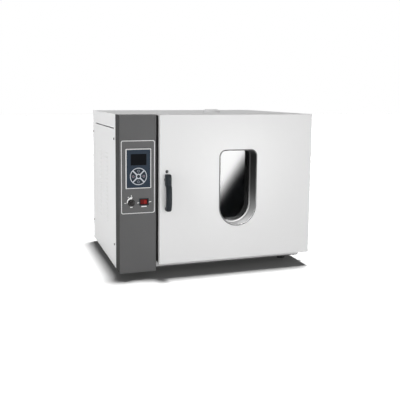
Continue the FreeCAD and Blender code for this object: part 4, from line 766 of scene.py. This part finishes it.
def window_path(count=40):
    """The window's outline as points and outward normals: a half circle below, straight sides and
    two rounded top corners. x and z are millimetres from the middle of the half circle."""
    low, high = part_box("window_frame")
    half = (high.x - low.x) / MM / 2 - WINDOW_RIM
    top = (high.z - low.z) / MM - 2 * WINDOW_RIM - half
    r = WINDOW_CORNER
    bottom = np.linspace(np.pi, 2 * np.pi, 2 * count)
    right = np.linspace(0, np.pi / 2, count)
    left = np.linspace(np.pi / 2, np.pi, count)
    corner_x = half - r
    px = np.concatenate([half * np.cos(bottom), corner_x + r * np.cos(right), r * np.cos(left) - corner_x])
    pz = np.concatenate([half * np.sin(bottom), top - r + r * np.sin(right), top - r + r * np.sin(left)])
    angle = np.concatenate([bottom, right, left])
    return px, pz, np.cos(angle), np.sin(angle)


def window_middle():
    """The middle of the window's half circle, and the door's face, in millimetres in the row's frame."""
    low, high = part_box("window_frame")
    half = (high.x - low.x) / MM / 2 - WINDOW_RIM
    return (low.x + high.x) / 2 / MM, CASE.y / MM, low.z / MM + WINDOW_RIM + half


def window_profile():
    """The frame's section as (outward, depth): a rounded rim proud of the door, the tunnel's wall, a
    bend onto the lip before the glass, and the flange behind."""
    turn = np.linspace(0, np.pi / 2, 7)
    c, s = RIM_ROUND * np.cos(turn), RIM_ROUND * np.sin(turn)
    rim_out = np.stack([WINDOW_RIM - RIM_ROUND + c, -RIM_PROUD - s], 1)
    rim_in = np.stack([RIM_ROUND - s, -RIM_PROUD - c], 1)
    bend = np.stack([BEND_ROUND * (np.cos(turn) - 1), WINDOW_RECESS + BEND_ROUND * (np.sin(turn) - 1)], 1)
    glass = WINDOW_RECESS + LIP_THICK
    flange = WINDOW_RECESS + FLANGE_BACK
    rest = np.array([
        (LIP_ROUND - LIP_IN, WINDOW_RECESS), (-LIP_IN, WINDOW_RECESS + LIP_ROUND), (-LIP_IN, glass),
        (0.0, glass), (0.0, flange), (LIP_THICK, flange), (LIP_THICK, 0.0), (WINDOW_RIM, 0.0),
    ])
    return np.concatenate([rim_out, rim_in, bend, rest])


def window_frame(finish, tunnel_finish, lip_finish):
    """The frame: its profile carried round the window's outline, with other finishes in the tunnel
    and on the lip than on the rim."""
    profile = window_profile()
    px, pz, nx, nz = window_path()
    mx, my, mz = window_middle()
    x = mx + px[:, None] + nx[:, None] * profile[:, 0]
    z = mz + pz[:, None] + nz[:, None] * profile[:, 0]
    y = my + np.repeat(profile[None, :, 1], len(px), 0)
    points = np.stack([x, y, z], 2) * MM
    faces = grid_faces(len(px), len(profile), True, True)
    piece = new_piece("window_surround", points, faces, finish, "door", ["window_frame"])
    piece.data.materials.append(tunnel_finish)
    piece.data.materials.append(lip_finish)
    # The tunnel's and the lip's darker finishes are painted shade for the recess.
    for face in piece.data.polygons:
        depth = face.center.y / MM - my
        face.material_index = 2 if depth > WINDOW_RECESS - LIP_DEPTH else int(depth > RIM_DEPTH)
    sharpen(piece, 40.0)
    return piece


# The control plate's knob, marks and rocker


def plate_patch(name, outline, y, finish, body, thickness=MARK_THICK):
    """A thin raised mark. The outline is points (x, z) in millimetres in the row's frame."""
    n = len(outline)
    xz = np.asarray(outline, float)
    front = np.column_stack([xz[:, 0], np.full(n, y - thickness), xz[:, 1]])
    back = np.column_stack([xz[:, 0], np.full(n, y), xz[:, 1]])
    points = np.concatenate([front, back]) * MM
    i = np.arange(n)
    j = (i + 1) % n
    faces = np.stack([i, j, j + n, i + n], 1).tolist()
    faces.append(list(range(n)))
    faces.append(list(range(n, 2 * n)))
    return new_piece(name, points, faces, finish, body, smooth=False)


def ring_part(cx, cz, r0, r1, start, end, count=24):
    """The outline of part of a ring. r0 and r1 may be pairs that grow from start to end, in degrees."""
    a = np.radians(np.linspace(start, end, count))
    outer = np.linspace(r1[0], r1[1], count)
    inner = np.linspace(r0[0], r0[1], count)
    out = np.column_stack([cx + outer * np.cos(a), cz + outer * np.sin(a)])
    back = np.column_stack([cx + inner * np.cos(a), cz + inner * np.sin(a)])[::-1]
    return np.concatenate([out, back])


def disc(cx, cz, radius, count):
    """The outline of a round spot, as points at equal steps of angle."""
    a = np.linspace(0, 2 * np.pi, count, endpoint=False)
    return np.column_stack([cx + radius * np.cos(a), cz + radius * np.sin(a)])


def stroke(cx, cz, length, width, degrees):
    """The outline of a straight mark with square ends."""
    a = math.radians(degrees)
    ux, uz = math.cos(a) * length / 2, math.sin(a) * length / 2
    vx, vz = -math.sin(a) * width / 2, math.cos(a) * width / 2
    return [(cx - ux - vx, cz - uz - vz), (cx + ux - vx, cz + uz - vz), (cx + ux + vx, cz + uz + vz),
            (cx - ux + vx, cz - uz + vz)]


def box_middle(node):
    """The middle of a node's box seen from the front, and its front face, in millimetres."""
    low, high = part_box(node)
    return (low.x + high.x) / 2 / MM, (low.z + high.z) / 2 / MM, low.y / MM


def plate_front():
    """The front face of the control plate, in millimetres."""
    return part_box("control_plate")[0].y / MM


def knob(finish):
    """The fluted knob: its radius is the profile's at each height, less depth * |cos(n a / 2)|^power
    for n rounded flutes. The cap is a low dome, h - dome (1 - sqrt(1 - flatness f^2)) at the share f
    of its radius."""
    low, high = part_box("knob")
    cx, cz, _ = box_middle("knob")
    back = high.y / MM
    r = (high.x - low.x) / MM / 2
    h = (high.y - low.y) / MM
    # Radius, height and share of the flute's depth
    side = np.array([
        (KNOB_BORE, 0.0, 0), (r - 0.3, 0.0, 0), (r, 0.3, 0), (r, 1.4, 0), (r - 0.4, 1.9, 0),
        (r - 1.3, 2.3, 0.0), (r - 1.5, 2.9, 0.6), (r - 1.6, 4.0, 1), (r - 1.9, 8.0, 1),
    ])
    cap = r - KNOB_CAP_INSET
    f = np.sin(np.linspace(np.pi / 2, 0.01, 14))
    height = h - KNOB_DOME * (1 - np.sqrt(1 - KNOB_FLATNESS * f ** 2))
    dome = np.column_stack([cap * f, height, np.clip(8 * (f - FLUTES_END), 0, 0.6)])
    profile = np.concatenate([side, dome])
    a = np.linspace(0, 2 * np.pi, 216, endpoint=False)
    flute = np.abs(np.cos(KNOB_FLUTES * a / 2)) ** KNOB_FLUTE_POWER
    radius = profile[:, :1] - KNOB_FLUTE_DEEP * profile[:, 2:] * flute
    x = cx + radius * np.cos(a)
    z = cz + radius * np.sin(a)
    y = back - np.repeat(profile[:, 1:2], len(a), 1)
    faces = grid_faces(len(profile), len(a), False, True)
    points = np.stack([x, y, z], 2) * MM
    piece = new_piece("control_knob", points, faces, finish, "knob", ["knob"])
    sharpen(piece, 50.0)
    return piece


def knob_marks(finish):
    """A crescent that grows from nine to twelve o'clock round the knob, with marks outside it."""
    cx, cz, _ = box_middle("knob")
    y = plate_front()
    marks = {
        "knob_crescent": ring_part(cx, cz, (12.0, 11.6), (13.8, 18.6), 184.0, 80.0, 30),
        "knob_mark_first": stroke(cx - 19.0, cz - 0.5, 6.0, 1.7, 0),
        "knob_mark_middle": ring_part(cx, cz, (19.4, 19.4), (21.8, 21.8), 123.0, 115.0, 5),
        "knob_mark_last": stroke(cx, cz + 21.6, 4.4, 1.9, 90),
        "knob_mark_below": stroke(cx, cz - 13.8, 8.0, 2.3, 0),
    }
    for name, outline in marks.items():
        plate_patch(name, outline, y, finish, "cabinet")


def switch_marks(finish):
    """Plain marks beside the switch: a dash on each side and a bar below."""
    cx, cz, _ = box_middle("switch_body")
    y = plate_front()
    marks = {
        "switch_dash_left": stroke(cx - 18.6, cz - 2.4, 5.0, 3.2, 0),
        "switch_dash_right": stroke(cx + 19.4, cz - 0.6, 7.0, 2.4, 12),
        "switch_bar_below": stroke(cx, cz - 14.4, 17.0, 3.0, 0),
    }
    for name, outline in marks.items():
        plate_patch(name, outline, y, finish, "cabinet")


def key_marks(pale, dark, red):
    """On each key a pale round spot with a dot, dark above and below and red at the sides, and a dark
    disc on the keypad's hub."""
    cx, cz, front = box_middle("keypad_frame")
    plate_patch("keypad_centre", disc(cx, cz, HUB_DISC_R, 36), front, dark, "cabinet")
    for name, (dx, dz), dot in (("key_right", (1, 0), red), ("key_up", (0, 1), dark),
                                ("key_left", (-1, 0), red), ("key_down", (0, -1), dark)):
        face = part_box(name)[0].y / MM
        mx = cx + dx * KEY_SPOT_OUT
        mz = cz + dz * KEY_SPOT_OUT
        spot = disc(mx, mz, KEY_SPOT_R, 30)
        plate_patch(name + "_spot", spot, face, pale, name, KEY_MARK_THICK)
        point = disc(mx, mz, KEY_DOT_R, 18)
        plate_patch(name + "_dot", point, face - KEY_MARK_THICK, dot, name, KEY_MARK_THICK)


def rocker_face(half_w, half_h):
    """The rocker's front as a grid of (x, depth, z): two slopes that rise from a rounded ridge in the
    middle, each a little dished, whose rims fall away as the square of the way past 0.93 and 0.9."""
    u = np.linspace(-1, 1, 57)
    v = np.linspace(-1, 1, 33)
    gu, gv = np.meshgrid(u, v, indexing="ij")
    ridge = np.sqrt(gu ** 2 + 0.004) - math.sqrt(0.004)
    past_side = np.maximum(np.abs(gu) - 0.93, 0) / 0.07
    past_end = np.maximum(np.abs(gv) - 0.9, 0) / 0.1
    edge = ROCKER_EDGE * past_side ** 2 + ROCKER_EDGE * past_end ** 2
    dish = ROCKER_DISH * np.sin(np.pi * np.abs(gu)) * (1 - gv ** 2)
    depth = -ROCKER_PROUD + ROCKER_SLOPE * ridge + edge + dish
    return np.stack([half_w * gu, depth, half_h * gv], 2)


def rocker(finish, highlight_finish):
    """The rocker: its dished front with a skirt behind, turned with the CAD rocker about its axle."""
    low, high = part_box("rocker")
    cz = (low.z + high.z) / 2 / MM
    face_grid = rocker_face(ROCKER_HALF_W, (high.z - low.z) / MM / 2 - ROCKER_TOP_GAP)
    rows, columns = face_grid.shape[:2]
    front = face_grid.reshape(-1, 3)
    ring = np.concatenate([
        np.arange(columns), columns * np.arange(1, rows) + columns - 1,
        columns * (rows - 1) + np.arange(columns - 2, -1, -1), columns * np.arange(rows - 2, 0, -1),
    ])
    skirt = front[ring].copy()
    skirt[:, 1] = ROCKER_SKIRT
    n = len(front)
    m = len(ring)
    k = np.arange(m)
    faces = grid_faces(rows, columns, False, False).tolist()
    faces += np.stack([ring[k], ring[(k + 1) % m], n + (k + 1) % m, n + k], 1).tolist()
    faces.append((n + k).tolist())
    points = np.concatenate([front, skirt])
    tilt = math.radians(-ROCKER_TILT)
    px, py = points[:, 0].copy(), points[:, 1] - ROCKER_AXLE
    points[:, 0] = px * math.cos(tilt) - py * math.sin(tilt)
    points[:, 1] = px * math.sin(tilt) + py * math.cos(tilt) + ROCKER_AXLE
    pivot_x = box_middle("switch_body")[0]
    points += np.array([pivot_x, plate_front(), cz])
    piece = new_piece("rocker_cap", points * MM, faces, finish, "rocker", ["rocker"])
    piece.data.materials.append(highlight_finish)
    # A brighter red on a patch of the right half: a painted highlight.
    for face in piece.data.polygons:
        across = face.center.x / MM - pivot_x
        if HIGHLIGHT_LEFT < across < HIGHLIGHT_RIGHT and abs(face.center.z / MM - cz) < HIGHLIGHT_HALF_H:
            face.material_index = 1
    return piece


# Painted shade on edges and in gaps, and the whole


def shade_line_at_foot(finish):
    """A dark line along the foot of the frame: painted shade under the door's bottom edge."""
    low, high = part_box("front_frame")
    x0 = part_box("control_column")[1].x / MM
    x1 = high.x / MM - SHADE_LINE_INSET
    z0 = low.z / MM + SHADE_LINE_UP
    z1 = z0 + SHADE_LINE_WIDTH
    outline = [(x0, z0), (x1, z0), (x1, z1), (x0, z1)]
    plate_patch("foot_shade_line", outline, low.y / MM + SUNK, finish, "cabinet")


def shade_band_on_door_edge(finish):
    """A thin dark strip on the door's left edge, on the part that stands beside the column: painted shade
    in the gap.
    """
    low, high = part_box("door_skin")
    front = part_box("control_column")[0].y / MM + BAND_IN
    back = high.y / MM - BAND_INSET
    bottom = low.z / MM + BAND_INSET
    top = high.z / MM - BAND_INSET
    side = np.array([low.x / MM - BAND_THICK, low.x / MM + SUNK])
    corners = [(front, bottom), (back, bottom), (back, top), (front, top)]
    points = np.array([(x, y, z) for x in side for y, z in corners]) * MM
    faces = [(0, 1, 2, 3), (7, 6, 5, 4)] + [(i, (i + 1) % 4, (i + 1) % 4 + 4, i + 4) for i in range(4)]
    new_piece("door_edge_shade_band", points, faces, finish, "door", (), False)


def dress_window(drift):
    """The window's surround in three greys of the same metal, and the lamp in its mouth. The near-black
    tunnel and the dark lip are painted shade for the recess; the rim is mid grey.
    """
    tunnel = grained("painted_shade_tunnel", (0.018, 0.018, 0.018), 300.0, 0.02, (0.26, 0.34), drift)
    rim = grained("grey_rim", (0.12, 0.12, 0.12), 300.0, 0.02, (0.3, 0.4), drift)
    lip = grained("painted_shade_lip", (0.07, 0.07, 0.07), 300.0, 0.02, (0.3, 0.4), drift, 0.3)
    light_recess(window_frame(dull(rim, 0.3), dull(tunnel, 0.15), lip))


def dress_plate(finishes, drift):
    """The knob, the rocker and the printed marks on the control plate and its keys."""
    moulding = grained("knob_moulding", (0.024, 0.022, 0.022), 1500.0, 0.15, (0.24, 0.32), (0.9, 1.0))
    knob(dull(moulding, 0.3))
    # The rocker's brighter red patch is a painted highlight.
    lens = grained("painted_highlight_red", (0.32, 0.014, 0.010), 900.0, 0.03, (0.2, 0.3), drift)
    rocker(finishes["rocker_red"], dull(lens, 0.2))
    pale_mark = grained("pale_print", (0.95, 0.95, 0.94), 1500.0, 0.05, (0.4, 0.5), drift)
    red_mark = grained("red_print", (0.12, 0.012, 0.02), 1500.0, 0.05, (0.4, 0.5), drift)
    grey_spot = grained("grey_spot", (0.20, 0.22, 0.26), 1500.0, 0.05, (0.4, 0.5), (0.9, 1.0))
    knob_marks(pale_mark)
    switch_marks(pale_mark)
    key_marks(grey_spot, finishes["key_dark"], red_mark)


def dress(finishes):
    """All the pieces that are made here, and the finishes that differ from their slot's. The shade
    of most of them drifts by the same few per cent."""
    drift = (0.95, 1.0)
    lever_handle(finishes["black_plastic"])
    dress_window(drift)
    dress_plate(finishes, drift)
    # The column's left and right faces get painted shade.
    paint_shade_on_sides("control_column", painted_shade_finish("column_side_painted_shade", 0.024))
    # A painted shade line along the frame's foot, under the door.
    shade_line_at_foot(painted_shade_finish("foot_painted_shade", 0.060))
    # A painted shade band on the door's edge, in the gap beside the column.
    shade_band_on_door_edge(painted_shade_finish("door_edge_painted_shade", 0.14))
    thin_line = grained("satin_line", (0.74, 0.74, 0.74), 300.0, 0.02, (0.34, 0.46), drift, 0.3)
    for node in ("plate_trim", "controller_bezel"):
        NODES[node].data.materials[0] = thin_line
    for name, level in (("screen_dark", 0.05), ("face_blue_grey", 0.2), ("key_dark", 0.25),
                        ("black_plastic", 0.3), ("rocker_red", 0.2)):
        dull(finishes[name], level)


bpy.context.scene.view_settings.view_transform = "Standard"
make_camera()
make_world()
make_lamps(make_floor())
make_reflection_card()
make_shadow_card()
FINISHES = make_finishes()
finish_nodes(FINISHES)
dress(FINISHES)
